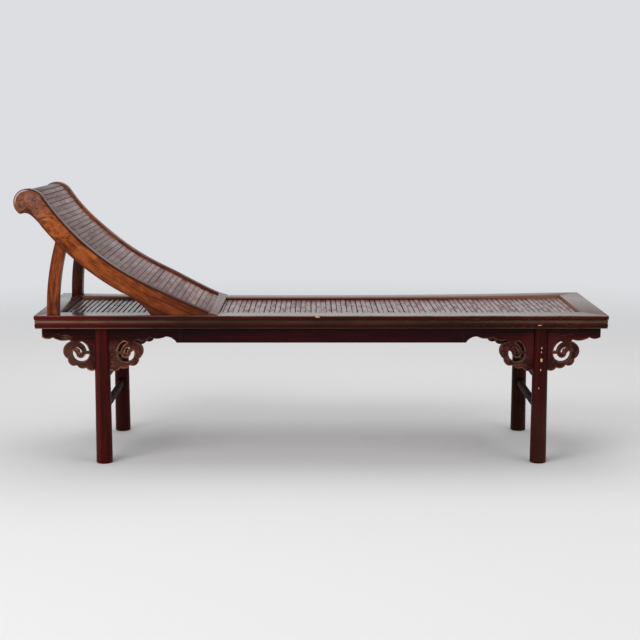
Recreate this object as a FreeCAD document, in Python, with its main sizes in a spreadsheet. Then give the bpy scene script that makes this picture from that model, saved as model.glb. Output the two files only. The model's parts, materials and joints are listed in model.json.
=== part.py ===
import FreeCAD
import Part
import Sketcher
import math
import operator
import os
from FreeCAD import Placement, Rotation, Vector

# Recessed-leg daybed with a bamboo slat seat and a fixed scrolled headrest.
# Millimetres, degrees and counts. +X points to the foot end, the headrest stands at -X,
# the front is at -Y, +Z is up and the origin is under the middle of the whole object, on the floor.

SIZES = {
    # bed frame
    "frame_length": 1900,
    "frame_width": 580,
    "frame_top": 508,
    "rail_width": 80,
    "rail_height": 44,
    "ledge_width": 14,
    "edge_relief": 4,
    "edge_round": 2.5,
    "lower_band_setback": 1.8,
    "bottom_lip": 3,
    "lower_bead": 14,
    "edge_quirk": 1.5,
    "reed_height": 4.5,
    "corner_tenon_width": 34,
    "corner_tenon_thickness": 14,
    "corner_tenon_offset": 30,
    "corner_tenon_stop": 14,
    "joint_gap": 0.3,
    # bamboo seat and what carries it
    "slat_recess": 8.5,
    "slat_thickness": 7,
    "slat_crown": 1.2,
    "seat_slat_width": 15.9,
    "seat_slat_count": 98,
    "bearer_width": 40,
    "bearer_spacing": 380,
    "bearer_tenon": 20,
    "bearer_tenon_thickness": 8,
    "stringer_width": 34,
    "stringer_thickness": 12,
    "stringer_offset": 80,
    "stringer_tenon": 10,
    # legs and side stretchers
    "leg_inset_side": 48,
    "leg_inset_end": 217,
    "leg_top_diameter": 50,
    "leg_foot_diameter": 55,
    "foot_chamfer": 3,
    "leg_tenon_side": 26,
    "leg_tenon_height": 28,
    "leg_groove_depth": 10,
    "stretcher_width": 22,
    "stretcher_height": 30,
    "stretcher_tenon": 14,
    "lower_stretcher_level": 181,
    "upper_stretcher_level": 285,
    # aprons and their scrolled ends
    "apron_thickness": 18,
    "apron_tongue": 5,
    "apron_drop": 53,
    "apron_lap": 10,
    "apron_lap_thickness": 6,
    "wing_end_inset": 18,
    "wing_end_drop": 34,
    "wing_cusp_drop": 35.5,
    "wing_lobe_drop": 46,
    "wing_cusp_reach": 162,
    "arch_top_reach": 214,
    "arch_foot_reach": 250,
    "arch_top_drop": 32,
    "scroll_radius": 60,
    "scroll_reach_outer": 70.5,
    "scroll_reach_inner": 79,
    "scroll_drop": 87,
    # headrest
    "scroll_overhang": 56,
    "foot_angle": 22.2,
    "bend_angle": 27,
    "crest_angle": 56,
    "lower_bend_radius": 3250,
    "upper_bend_radius": 838,
    "crest_radius": 60,
    "head_radius": 45.2,
    "side_rail_depth": 62,
    "side_rail_thickness": 56,
    "side_rail_inset": 5,
    "heel_length": 214,
    "heel_hollow": 8.5,
    "rabbet_width": 20,
    "headrest_recess": 5,
    "headrest_slat_thickness": 5,
    "headrest_slat_width": 15.8,
    "headrest_slat_count": 40,
    "slat_seat_gap": 0.15,
    "foot_board_width": 25.5,
    "foot_board_nose": 6,
    "foot_board_nose_height": 2,
    "foot_board_thickness": 8,
    "top_rail_thickness": 16,
    "top_rail_start_angle": 27,
    "top_rail_end_angle": -62,
    "top_rail_tenon": 16,
    "top_rail_tenon_size": 14,
    "batten_width": 34,
    "batten_thickness": 18,
    "batten_tenon": 15,
    "lower_batten_reach": 215,
    "upper_batten_reach": 470,
    "post_inset": 60,
    "post_width": 37,
    "post_depth": 48,
    "post_bend_radius": 870,
    "post_tenon_side": 16,
    "post_foot_tenon": 13,
    "post_head_tenon": 18,
}

SEAT_SLAT_GROUPS = 7
HEADREST_SLAT_GROUPS = 3

doc = FreeCAD.newDocument("daybed")
sheet = doc.addObject("Spreadsheet::Sheet", "Sizes")
for row, (name, number) in enumerate(SIZES.items(), start=1):
    sheet.set(f"A{row}", name)
    sheet.set(f"B{row}", str(number))
    sheet.setAlias(f"B{row}", name)
doc.recompute()


# A size carries its number and the sheet expression that it comes from.
class Size:
    def __init__(self, value, text):
        self.value = value
        self.text = text

    def __add__(self, other):
        return join(self, "+", other)

    def __radd__(self, other):
        return join(other, "+", self)

    def __sub__(self, other):
        return join(self, "-", other)

    def __rsub__(self, other):
        return join(other, "-", self)

    def __mul__(self, other):
        return join(self, "*", other)

    def __rmul__(self, other):
        return join(other, "*", self)

    def __truediv__(self, other):
        return join(self, "/", other)

    def __neg__(self):
        return join(-1, "*", self)


ACTIONS = {"+": operator.add, "-": operator.sub, "*": operator.mul, "/": operator.truediv}


def as_size(thing):
    return thing if isinstance(thing, Size) else Size(thing, f"({thing})")


def join(left, sign, right):
    left = as_size(left)
    right = as_size(right)
    return Size(ACTIONS[sign](left.value, right.value), f"({left.text} {sign} {right.text})")


def sine(angle):
    return Size(math.sin(math.radians(angle.value)), f"sin({angle.text} * 1 deg)")


def cosine(angle):
    return Size(math.cos(math.radians(angle.value)), f"cos({angle.text} * 1 deg)")


def root(thing):
    return Size(math.sqrt(thing.value), f"sqrt({thing.text})")


def arc_sine(ratio):
    return Size(math.degrees(math.asin(ratio.value)), f"(asin({ratio.text}) / 1 deg)")


def half(thing):
    return thing / 2


class Sheet:
    def __getattr__(self, alias):
        return Size(float(sheet.get(alias)), f"Sizes.{alias}")


d = Sheet()


def rectangle(x_low, x_high, y_low, y_high):
    return [(x_low, y_low), (x_high, y_low), (x_high, y_high), (x_low, y_high)]


def middle_rectangle(x, width, y, height):
    return rectangle(x - half(width), x + half(width), y - half(height), y + half(height))


# An upright oval: two half rounds joined by straight sides.
def oval(x, width, y, height):
    side = half(width)
    shoulder = half(height) - side
    return [
        (x - side, y + shoulder, (x, y + half(height))),
        (x + side, y + shoulder),
        (x + side, y - shoulder, (x, y - half(height))),
        (x - side, y - shoulder),
    ]


# A body whose sketches lie on its own origin planes. Each loop is a list of corners (x, y),
# and a corner with a third entry starts an arc that passes through that point.
class Piece:
    def __init__(self, label):
        self.body = doc.addObject("PartDesign::Body", label)
        self.body.Label = label
        self.label = label
        self.count = 0

    def name(self, kind):
        self.count += 1
        return f"{self.label}_{kind}_{self.count}"

    def plane(self, role):
        for feature in self.body.Origin.OriginFeatures:
            if feature.Role == role:
                return feature

    def fix(self, sketch, geometry, point, x, y):
        for kind, size in (("DistanceX", x), ("DistanceY", y)):
            size = as_size(size)
            index = sketch.addConstraint(Sketcher.Constraint(kind, -1, 1, geometry, point, size.value))
            sketch.setExpression(f"Constraints[{index}]", size.text)

    def sketch(self, role, level, loops):
        sketch = self.body.newObject("Sketcher::SketchObject", self.name("outline"))
        sketch.AttachmentSupport = [(self.plane(role), "")]
        sketch.MapMode = "FlatFace"
        offset = -as_size(level) if role == "XZ_Plane" else as_size(level)
        sketch.AttachmentOffset = Placement(Vector(0, 0, offset.value), Rotation())
        sketch.setExpression("AttachmentOffset.Base.z", offset.text)
        for loop in loops:
            self.trace(sketch, loop)
        return sketch

    def trace(self, sketch, loop):
        flat = [Vector(as_size(corner[0]).value, as_size(corner[1]).value, 0) for corner in loop]
        edges = []
        for index, corner in enumerate(loop):
            start = flat[index]
            end = flat[(index + 1) % len(loop)]
            if len(corner) == 3:
                via = Vector(as_size(corner[2][0]).value, as_size(corner[2][1]).value, 0)
                arc = Part.Arc(start, via, end)
                geometry = sketch.addGeometry(arc)
                middle = sketch.addGeometry(Part.Point(via), True)
                # a sketch keeps every arc anticlockwise, so one that runs clockwise starts at its end
                turn = (via - start).cross(end - via).z
                edges.append((geometry, 1, 2) if turn > 0 else (geometry, 2, 1))
                self.fix(sketch, middle, 1, *corner[2])
                sketch.addConstraint(Sketcher.Constraint("PointOnObject", middle, 1, geometry))
            else:
                edges.append((sketch.addGeometry(Part.LineSegment(start, end)), 1, 2))
        for index, (geometry, start, _) in enumerate(edges):
            previous, _, previous_end = edges[index - 1]
            sketch.addConstraint(
                Sketcher.Constraint("Coincident", previous, previous_end, geometry, start)
            )
            self.fix(sketch, geometry, start, loop[index][0], loop[index][1])

    # Wood from level to level + thickness along the plane's axis.
    def pad(self, role, level, thickness, *loops):
        base = level + thickness if role == "XZ_Plane" else level
        sketch = self.sketch(role, base, loops)
        pad = self.body.newObject("PartDesign::Pad", self.name("pad"))
        pad.Profile = sketch
        pad.setExpression("Length", as_size(thickness).text)
        return pad

    # The same space, cut away.
    def pocket(self, role, level, thickness, *loops):
        base = level if role == "XZ_Plane" else level + thickness
        sketch = self.sketch(role, base, loops)
        pocket = self.body.newObject("PartDesign::Pocket", self.name("pocket"))
        pocket.Profile = sketch
        pocket.setExpression("Length", as_size(thickness).text)
        return pocket

    def revolve(self, loop):
        sketch = self.sketch("XZ_Plane", as_size(0), [loop])
        turned = self.body.newObject("PartDesign::Revolution", self.name("turning"))
        turned.Profile = sketch
        turned.ReferenceAxis = (sketch, ["V_Axis"])
        turned.Angle = 360
        return turned

    def repeat_along_x(self, pad, length, count):
        pattern = self.body.newObject("PartDesign::LinearPattern", self.name("row"))
        pattern.Originals = [pad]
        pattern.Direction = (self.plane("X_Axis"), [""])
        pattern.setExpression("Length", length.text)
        pattern.setExpression("Occurrences", count.text)
        self.body.Tip = pattern

    def place(self, x, y, z, turn=0):
        self.body.Placement = Placement(Vector(0, 0, 0), Rotation(Vector(0, 0, 1), turn))
        for axis, size in (("x", x), ("y", y), ("z", z)):
            self.body.setExpression(f"Placement.Base.{axis}", as_size(size).text)
        return self.body


ends = {"head": -1, "foot": 1}
sides = {"front": -1, "back": 1}

# The scroll overhangs the head end, so the bed frame's middle lies half of that towards the foot.
bed_x = half(d.scroll_overhang)
half_length = half(d.frame_length)
half_width = half(d.frame_width)
frame_underside = d.frame_top - d.rail_height
section_width = d.rail_width + d.ledge_width
ledge_top = d.rail_height - d.slat_recess - d.slat_thickness
slat_bottom = d.frame_top - d.slat_recess - d.slat_thickness
opening_length = d.frame_length - 2 * d.rail_width
opening_width = d.frame_width - 2 * d.rail_width

leg_x = half_length - d.leg_inset_end
leg_y = half_width - d.leg_inset_side
leg_top_radius = half(d.leg_top_diameter)
groove_width = d.apron_thickness + 2 * d.joint_gap

stringer_bottom = slat_bottom - d.stringer_thickness
bearer_height = stringer_bottom - frame_underside
bearer_tenon_bottom = half(bearer_height - d.bearer_tenon_thickness)


# Headrest geometry. x runs back from the foot of the slope, z up from the frame's top, and a
# heading is the slope's angle. The upper edge is two hollow bends, a round crest and a tighter
# round head that starts at the top of the crest, at heading nought.
def outward(heading):
    return sine(heading), cosine(heading)


def step(start, radius, heading_from, heading_to):
    x_from, z_from = outward(heading_from)
    x_to, z_to = outward(heading_to)
    return start[0] + radius * (x_from - x_to), start[1] + radius * (z_from - z_to)


def inset(point, heading, distance):
    x_out, z_out = outward(heading)
    return point[0] - distance * x_out, point[1] - distance * z_out


zero = Size(0, "0")
slope_foot = (zero, zero)
slope_bend = step(slope_foot, d.lower_bend_radius, d.foot_angle, d.bend_angle)
slope_top = step(slope_bend, d.upper_bend_radius, d.bend_angle, d.crest_angle)
crest_centre = inset(slope_top, d.crest_angle, d.crest_radius)
head_centre = (crest_centre[0], crest_centre[1] + d.crest_radius - d.head_radius)
scroll_left = head_centre[0] - d.head_radius


def on_lower_bend(heading, depth=zero):
    return inset(step(slope_foot, d.lower_bend_radius, d.foot_angle, heading), heading, depth)


def on_upper_bend(heading, depth=zero):
    return inset(step(slope_bend, d.upper_bend_radius, d.bend_angle, heading), heading, depth)


def on_crest(heading, depth=zero):
    return inset(crest_centre, heading, depth - d.crest_radius)


def on_head(heading, depth=zero):
    return inset(head_centre, heading, depth - d.head_radius)


def arc_of(place, heading_from, heading_to, depth=zero):
    start = place(heading_from, depth)
    return (start[0], start[1], place(half(heading_from + heading_to), depth))


# The slope's foot in the bed's own coordinates, and the posts and rails measured from it.
foot_x = -half_length - d.scroll_overhang - scroll_left
headrest_x = foot_x + bed_x
post_x = -half_length + d.post_inset - foot_x
side_rail_outer = half_width - d.side_rail_inset
side_rail_inner = side_rail_outer - d.side_rail_thickness
post_middle = side_rail_inner + half(d.post_depth)
rabbet_wall = side_rail_inner + d.rabbet_width
rabbet_depth = d.headrest_recess + d.headrest_slat_thickness
board_angle = d.foot_angle + d.foot_board_width / d.lower_bend_radius * (180 / math.pi)
neck_angle = d.crest_angle - 5
neck = on_upper_bend(neck_angle, d.side_rail_depth)
shoulder_angle = d.bend_angle + 2.5
shoulder = on_upper_bend(shoulder_angle, d.side_rail_depth)


# Frame rail, seen from its end: x inward from the outer edge, y up from the underside.
def rail_section():
    relief = d.edge_relief
    lip_top = d.bottom_lip
    bead_top = lip_top + d.lower_bead
    reed_one = bead_top + d.edge_quirk
    reed_two = reed_one + d.reed_height
    reeds_top = reed_two + d.reed_height
    upper_bead = reeds_top + d.edge_quirk
    reed_face = relief * 0.35
    corner = d.edge_round
    setback = d.lower_band_setback
    return [
        (section_width, zero),
        (section_width, ledge_top),
        (d.rail_width, ledge_top),
        (d.rail_width, d.rail_height),
        (corner, d.rail_height, (corner * 0.3, d.rail_height - corner * 0.3)),
        (zero, d.rail_height - corner),
        (zero, upper_bead + corner * 0.5),
        (relief, upper_bead),
        (relief, reeds_top, (reed_face, half(reed_two + reeds_top))),
        (relief, reed_two, (reed_face, half(reed_one + reed_two))),
        (relief, reed_one),
        (relief, bead_top),
        (setback, bead_top - corner * 0.5),
        (
            setback, lip_top + d.lower_bead * 0.4,
            (setback + (relief - setback) * 0.25, lip_top + d.lower_bead * 0.18),
        ),
        (relief, lip_top, (relief - half(lip_top), half(lip_top))),
        (relief, zero),
    ]


# One rail in its own frame: along x from its middle, y inward from the outer edge, z up from
# its underside. The ends are mitred, the long rails carry the tenons and the end rails take them.
def rail_blank(label, length):
    piece = Piece(label)
    piece.pad("YZ_Plane", -half(length), length, rail_section())
    corner = half(length)
    reach = section_width + 1
    mitres = []
    for sign in (-1, 1):
        mitres.append(
            [(sign * corner, zero), (sign * (corner + 1), zero), (sign * (corner + 1), reach),
             (sign * (corner - reach), reach)]
        )
    piece.pocket("XY_Plane", as_size(-1), d.rail_height + 2, *mitres)
    return piece


corner_tenon_level = half(ledge_top - d.corner_tenon_thickness)


def long_rail(label, side):
    piece = rail_blank(label, d.frame_length)
    outer = d.corner_tenon_offset
    inner = outer + d.corner_tenon_width
    for sign in (-1, 1):
        tip = sign * (half_length - d.corner_tenon_stop)
        piece.pad(
            "XY_Plane", corner_tenon_level, d.corner_tenon_thickness,
            [(sign * (half_length - outer), outer), (tip, outer), (tip, inner),
             (sign * (half_length - inner), inner)],
        )
    gap = d.joint_gap
    leg_hole = d.leg_tenon_side + 2 * gap
    piece.pocket(
        "XY_Plane", zero, d.leg_tenon_height + gap,
        *[middle_rectangle(sign * leg_x, leg_hole, d.leg_inset_side, leg_hole) for sign in (-1, 1)],
    )
    groove_end = half_length - d.wing_end_inset + gap
    piece.pocket(
        "XY_Plane", zero, d.apron_tongue + gap,
        middle_rectangle(zero, 2 * groove_end, d.leg_inset_side, groove_width),
    )
    hole_depth = d.bearer_tenon + gap
    for place in (-1.5, -0.5, 0.5, 1.5):
        piece.pocket(
            "XZ_Plane", section_width - hole_depth, hole_depth,
            rectangle(
                place * d.bearer_spacing - half(d.bearer_width) - gap,
                place * d.bearer_spacing + half(d.bearer_width) + gap,
                bearer_tenon_bottom - gap,
                bearer_tenon_bottom + d.bearer_tenon_thickness + gap,
            ),
        )
    # socket in the top for the headrest post's foot
    post_hole = d.post_tenon_side + 2 * gap
    piece.pocket(
        "XY_Plane", d.rail_height - d.post_foot_tenon - gap, d.post_foot_tenon + gap,
        middle_rectangle(
            -side * (-half_length + d.post_inset), post_hole,
            half_width - post_middle, post_hole,
        ),
    )
    piece.place(bed_x, side * half_width, frame_underside, turn=180 if side > 0 else 0)


def end_rail(label, end):
    piece = rail_blank(label, d.frame_width)
    gap = d.joint_gap
    hole_low = d.corner_tenon_offset - gap
    hole_high = d.corner_tenon_offset + d.corner_tenon_width + gap
    for sign in (-1, 1):
        wall = sign * (half_width - hole_low)
        floor = sign * (half_width - hole_high)
        piece.pocket(
            "XY_Plane", corner_tenon_level - gap, d.corner_tenon_thickness + 2 * gap,
            [(wall, d.corner_tenon_stop - gap), (wall, hole_low), (floor, hole_high),
             (floor, section_width), (floor, d.corner_tenon_stop - gap)],
        )
    groove_inset = d.wing_end_inset + half(d.apron_thickness)
    groove_depth = d.apron_tongue + gap
    piece.pocket(
        "XY_Plane", zero, groove_depth, middle_rectangle(zero, 2 * leg_y, groove_inset, groove_width)
    )
    for sign in (-1, 1):
        piece.pocket(
            "XY_Plane", zero, groove_depth,
            rectangle(
                sign * leg_y - half(groove_width), sign * leg_y + half(groove_width),
                d.wing_end_inset - gap, d.leg_inset_side + groove_width,
            ),
        )
    notch_width = d.stringer_width + 2 * gap
    for sign in (-1, 1):
        piece.pocket(
            "XY_Plane", ledge_top - d.stringer_thickness, d.stringer_thickness,
            rectangle(
                sign * d.stringer_offset - half(notch_width),
                sign * d.stringer_offset + half(notch_width),
                section_width - d.stringer_tenon - gap,
                section_width + 1,
            ),
        )
    piece.place(bed_x + end * half_length, zero, frame_underside, turn=90 * end)


def bearer(number, place):
    piece = Piece(f"seat_bearer_{number}")
    inner = half_width - section_width
    middle = place * d.bearer_spacing
    piece.pad(
        "XZ_Plane", -inner, 2 * inner,
        rectangle(middle - half(d.bearer_width), middle + half(d.bearer_width), zero, bearer_height),
    )
    reach = inner + d.bearer_tenon
    piece.pad(
        "XZ_Plane", -reach, 2 * reach,
        rectangle(
            middle - half(d.bearer_width), middle + half(d.bearer_width),
            bearer_tenon_bottom, bearer_tenon_bottom + d.bearer_tenon_thickness,
        ),
    )
    piece.place(bed_x, zero, frame_underside)


def stringer(side_name, sign):
    piece = Piece(f"seat_stringer_{side_name}")
    reach = half_length - section_width + d.stringer_tenon
    piece.pad(
        "YZ_Plane", -reach, 2 * reach,
        middle_rectangle(
            sign * d.stringer_offset, d.stringer_width,
            half(stringer_bottom + slat_bottom), d.stringer_thickness,
        ),
    )
    piece.place(bed_x, zero, zero)


# Bamboo strip seen from its end: flat below, a low crown above.
def strip_section(x, width):
    shoulder = slat_bottom + d.slat_thickness - d.slat_crown
    return [
        (x - half(width), slat_bottom),
        (x + half(width), slat_bottom),
        (x + half(width), shoulder, (x, slat_bottom + d.slat_thickness)),
        (x - half(width), shoulder),
    ]


def seat_slats(number):
    pitch = opening_length / d.seat_slat_count
    in_group = d.seat_slat_count / SEAT_SLAT_GROUPS
    first = -half(opening_length) + pitch * (in_group * (number - 1) + 0.5)
    reach = half(opening_width) - d.joint_gap
    piece = Piece(f"seat_slats_{number}")
    strip = piece.pad("XZ_Plane", -reach, 2 * reach, strip_section(first, d.seat_slat_width))
    piece.repeat_along_x(strip, pitch * (in_group - 1), in_group)
    piece.place(bed_x, zero, zero)


# Round tapered leg with a square tenon, a groove each side for the scrolled boards and an
# oval socket for each side stretcher.
def leg(label, end, side):
    piece = Piece(label)
    foot_radius = half(d.leg_foot_diameter)
    piece.revolve([
        (zero, zero),
        (foot_radius - d.foot_chamfer, zero),
        (foot_radius, d.foot_chamfer),
        (leg_top_radius, frame_underside),
        (zero, frame_underside),
    ])
    tenon = d.leg_tenon_side
    piece.pad(
        "XY_Plane", frame_underside, d.leg_tenon_height, middle_rectangle(zero, tenon, zero, tenon)
    )
    core = leg_top_radius - d.leg_groove_depth
    grooves = [
        rectangle(core, foot_radius, -half(groove_width), half(groove_width)),
        rectangle(-foot_radius, -core, -half(groove_width), half(groove_width)),
    ]
    groove_depth = d.scroll_drop + d.scroll_radius + d.joint_gap
    piece.pocket("XY_Plane", frame_underside - groove_depth, groove_depth, *grooves)
    gap = d.joint_gap
    sockets = []
    for level in (d.lower_stretcher_level, d.upper_stretcher_level):
        sockets.append(
            oval(zero, d.stretcher_width + 2 * gap, level, d.stretcher_height + 2 * gap)
        )
    socket_floor = leg_top_radius - d.stretcher_tenon
    reach = foot_radius - socket_floor
    low = socket_floor if side < 0 else -foot_radius
    piece.pocket("XZ_Plane", low, reach, *sockets)
    piece.place(bed_x + end * leg_x, side * leg_y, zero)


def side_stretcher(label, end, level):
    piece = Piece(label)
    reach = leg_y - leg_top_radius + d.stretcher_tenon - d.joint_gap
    piece.pad(
        "XZ_Plane", -reach, 2 * reach, oval(zero, d.stretcher_width, level, d.stretcher_height)
    )
    piece.place(bed_x + end * leg_x, zero, zero)


# Lobed cloud head of a scrolled board: from the notch under the wing, round the head and down
# its small lobes to the leg. Places are measured from the middle of the curl.
def cloud_head(at):
    return [
        (*at(25, 37), at(59, 5)),
        (*at(43, -21), at(39, -37)),
        (*at(14, -42), at(0, -53)),
        (*at(-17, -51), at(-30, -61)),
    ]


# The three cut-out crescents that leave a curled arm inside the cloud head.
def curl_cuts(at):
    lower = [
        (*at(-28, -5), at(0, -31)),
        (*at(27, 7), at(22, 4)),
        (*at(16, -3), at(0, -18)),
        at(-15, -4),
    ]
    upper = [
        (*at(-28, 4), at(-20, 25)),
        at(-4, 38),
        (*at(8, 34), at(-10, 21)),
        at(-17, 4),
    ]
    inner = [
        (*at(-4, 0), at(1, 12)),
        at(13, 18),
        (*at(16, 13), at(6, 8)),
        at(4, -2),
    ]
    return lower, upper, inner


# Board between a leg and the frame's end, or between a leg and the middle apron, with its scroll.
def scrolled_board(label, end, side, outward_sign, reach):
    outer = outward_sign > 0
    away = end * outward_sign
    piece = Piece(label)
    unit = d.scroll_radius / 60
    curl_z = frame_underside - d.scroll_drop
    foot_radius = half(d.leg_foot_diameter)

    def at(u, w):
        return away * (reach + u * unit), curl_z + w * unit

    def wing(u, drop):
        return away * u, frame_underside - drop

    core = away * (leg_top_radius - d.leg_groove_depth + d.joint_gap)
    top = frame_underside + d.apron_tongue
    cusp = d.wing_cusp_reach
    lobe_start = at(37, 0)[0]
    lobe = [
        (*wing(cusp, d.wing_cusp_drop),
         (half(away * cusp + lobe_start), frame_underside - d.wing_lobe_drop)),
        (lobe_start, frame_underside - d.wing_cusp_drop - 8),
    ]
    if outer:
        board_end = d.leg_inset_end - d.wing_end_inset
        edge = [
            (away * board_end, top),
            (*wing(board_end, d.wing_end_drop),
             wing(half(board_end + cusp), d.wing_cusp_drop + 5)),
        ]
    else:
        board_end = d.arch_foot_reach + d.apron_lap
        arch_middle = half(d.arch_foot_reach + d.arch_top_reach)
        arch_drop = half(d.apron_drop + d.arch_top_drop) - 6
        edge = [
            (away * board_end, top),
            wing(board_end, d.apron_drop),
            (*wing(d.arch_foot_reach, d.apron_drop), wing(arch_middle, arch_drop)),
            (*wing(d.arch_top_reach, d.arch_top_drop),
             wing(half(d.arch_top_reach + cusp), d.wing_cusp_drop + 4)),
        ]
    low = curl_z - d.scroll_radius
    leg_side = away * (foot_radius - 1)
    outline = [(core, top)] + edge + lobe + cloud_head(at) + [(leg_side, low), (core, low)]
    thickness = d.apron_thickness
    piece.pad("XZ_Plane", -half(thickness), thickness, outline)
    piece.pocket("XZ_Plane", -half(thickness), thickness, *curl_cuts(at))
    if not outer:
        lap = d.apron_lap_thickness + 2 * d.joint_gap
        mouth = d.apron_lap + d.joint_gap
        piece.pocket(
            "YZ_Plane", away * board_end - (mouth if away > 0 else zero), mouth,
            rectangle(-half(lap), half(lap), *lap_levels(d.joint_gap)),
        )
    piece.place(bed_x + end * leg_x, side * leg_y, zero)


# Heights of the tongue that ties the middle apron to the scrolled boards.
def lap_levels(gap=zero):
    middle = frame_underside - half(d.apron_drop)
    reach = d.apron_drop / 4
    return middle - reach - gap, middle + reach + gap


def middle_apron(label, side):
    piece = Piece(label)
    reach = leg_x - d.arch_foot_reach - d.apron_lap
    piece.pad(
        "YZ_Plane", -reach, 2 * reach,
        rectangle(
            -half(d.apron_thickness), half(d.apron_thickness),
            frame_underside - d.apron_drop, frame_underside + d.apron_tongue,
        ),
    )
    tongue_reach = reach + d.apron_lap
    piece.pad(
        "YZ_Plane", -tongue_reach, 2 * tongue_reach,
        rectangle(-half(d.apron_lap_thickness), half(d.apron_lap_thickness), *lap_levels()),
    )
    piece.place(bed_x, side * leg_y, zero)


def end_apron(label, end):
    piece = Piece(label)
    reach = leg_y - half(d.apron_thickness)
    piece.pad(
        "XZ_Plane", -reach, 2 * reach,
        rectangle(
            -half(d.apron_thickness), half(d.apron_thickness),
            frame_underside - d.wing_end_drop, frame_underside + d.apron_tongue,
        ),
    )
    inset_x = half_length - d.wing_end_inset - half(d.apron_thickness)
    piece.place(bed_x + end * inset_x, zero, zero)


# Outline of a headrest side rail seen from the front, with its heel on the frame, its hollow
# upper edge, the round crest and the small scroll under it.
def side_rail_outline():
    board = d.foot_board_thickness
    unit = d.head_radius / 45

    def under_head(x, z):
        return head_centre[0] + x * unit, head_centre[1] + z * unit

    chin = under_head(11.5, -42.2)
    throat = (half(chin[0] + neck[0]) - 1, half(chin[1] + neck[1]) + 4)
    heel = -d.heel_length
    lean_x, lean_z = outward(shoulder_angle + 8)
    heel_middle = (
        half(shoulder[0] + heel) + d.heel_hollow * lean_x,
        half(shoulder[1]) + d.heel_hollow * lean_z,
    )
    return [
        (-board / sine(d.foot_angle), zero),
        on_lower_bend(board_angle, board),
        arc_of(on_lower_bend, board_angle, d.bend_angle),
        arc_of(on_upper_bend, d.bend_angle, d.crest_angle),
        arc_of(on_crest, d.crest_angle, zero),
        arc_of(on_head, zero, as_size(-140)),
        (*on_head(as_size(-140)), under_head(-24, -36.3)),
        (*under_head(-15.4, -35), under_head(-0.4, -35.2)),
        (*chin, throat),
        arc_of(on_upper_bend, neck_angle, shoulder_angle, d.side_rail_depth),
        (*shoulder, heel_middle),
        (heel, zero),
    ]


# A band that follows the slope from one heading to another between two depths.
def slope_band(start_heading, end_heading, upper, lower):
    return [
        arc_of(on_lower_bend, start_heading, d.bend_angle, upper),
        arc_of(on_upper_bend, d.bend_angle, d.crest_angle, upper),
        arc_of(on_crest, d.crest_angle, zero, upper),
        arc_of(on_head, zero, end_heading, upper),
        on_head(end_heading, upper),
        arc_of(on_head, end_heading, zero, lower),
        arc_of(on_crest, zero, d.crest_angle, lower),
        arc_of(on_upper_bend, d.crest_angle, d.bend_angle, lower),
        arc_of(on_lower_bend, d.bend_angle, start_heading, lower),
        on_lower_bend(start_heading, lower),
    ]


# Bar under the slats, square to the slope: its four corners from the middle of its top.
def batten_outline(middle, heading, width, low, high):
    along_x, along_z = cosine(heading), sine(heading)
    corners = []
    for across, depth in ((-1, high), (1, high), (1, low), (-1, low)):
        x, z = inset(middle, heading, depth)
        corners.append((x + across * half(width) * along_x, z - across * half(width) * along_z))
    return corners


batten_places = {
    "lower": (on_lower_bend, d.foot_angle + d.lower_batten_reach / d.lower_bend_radius * (180 / math.pi)),
    "upper": (
        on_upper_bend,
        d.bend_angle + (
            d.upper_batten_reach
            - d.lower_bend_radius * (d.bend_angle - d.foot_angle) * (math.pi / 180)
        ) / d.upper_bend_radius * (180 / math.pi),
    ),
}
top_tenon_angle = half(d.top_rail_start_angle + d.top_rail_end_angle)


def batten_section(name, gap):
    place, heading = batten_places[name]
    return batten_outline(
        place(heading), heading, d.batten_width + 2 * gap,
        rabbet_depth + d.batten_thickness + gap, rabbet_depth - gap,
    )


def top_rail_tenon_section(gap):
    size = d.top_rail_tenon_size + 2 * gap
    middle = rabbet_depth + half(d.top_rail_thickness)
    return batten_outline(
        on_head(top_tenon_angle), top_tenon_angle, size,
        middle + half(size), middle - half(size),
    )


def side_rail(label, side):
    piece = Piece(label)
    low = side_rail_inner if side > 0 else -side_rail_outer
    piece.pad("XZ_Plane", low, d.side_rail_thickness, side_rail_outline())
    inner = side_rail_inner if side > 0 else -rabbet_wall
    piece.pocket(
        "XZ_Plane", inner, d.rabbet_width,
        slope_band(board_angle, d.top_rail_end_angle, as_size(-6), rabbet_depth),
    )
    gap = d.joint_gap
    batten_hole = d.batten_tenon + gap
    inner = side_rail_inner if side > 0 else -side_rail_inner - batten_hole
    for name in batten_places:
        piece.pocket("XZ_Plane", inner, batten_hole, batten_section(name, gap))
    top_hole = d.top_rail_tenon + gap
    inner = side_rail_inner if side > 0 else -side_rail_inner - top_hole
    piece.pocket("XZ_Plane", inner, top_hole, top_rail_tenon_section(gap))
    # socket for the post's head, from below
    hole = d.post_tenon_side + 2 * gap
    head_x, head_z = post_head()
    height = d.post_width + d.post_head_tenon + gap
    piece.pocket(
        "XZ_Plane", side * post_middle - half(hole), hole,
        rectangle(
            head_x - half(hole), head_x + half(hole),
            head_z - d.post_width, head_z - d.post_width + height,
        ),
    )
    piece.place(headrest_x, zero, d.frame_top)


# Where the post's middle line meets the rail's lower edge: two circles that cross.
def post_head():
    bend_x = slope_bend[0] + d.upper_bend_radius * sine(d.bend_angle)
    bend_z = slope_bend[1] + d.upper_bend_radius * cosine(d.bend_angle)
    bend_radius = d.upper_bend_radius + d.side_rail_depth
    post_centre = post_x + d.post_bend_radius
    apart_x = bend_x - post_centre
    apart = apart_x * apart_x + bend_z * bend_z
    radius = d.post_bend_radius
    along = half(radius * radius - bend_radius * bend_radius + apart) / apart
    across = root(radius * radius / apart - along * along)
    return (
        post_centre + along * apart_x - across * bend_z,
        along * bend_z + across * apart_x,
    )


# Everything above the rail's lower edge, where no post goes.
def above_rail():
    top = crest_centre[1] + d.crest_radius + d.side_rail_depth
    return [
        arc_of(on_upper_bend, neck_angle, shoulder_angle, d.side_rail_depth),
        shoulder,
        (shoulder[0], top),
        (scroll_left, top),
        (scroll_left, neck[1]),
    ]


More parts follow.
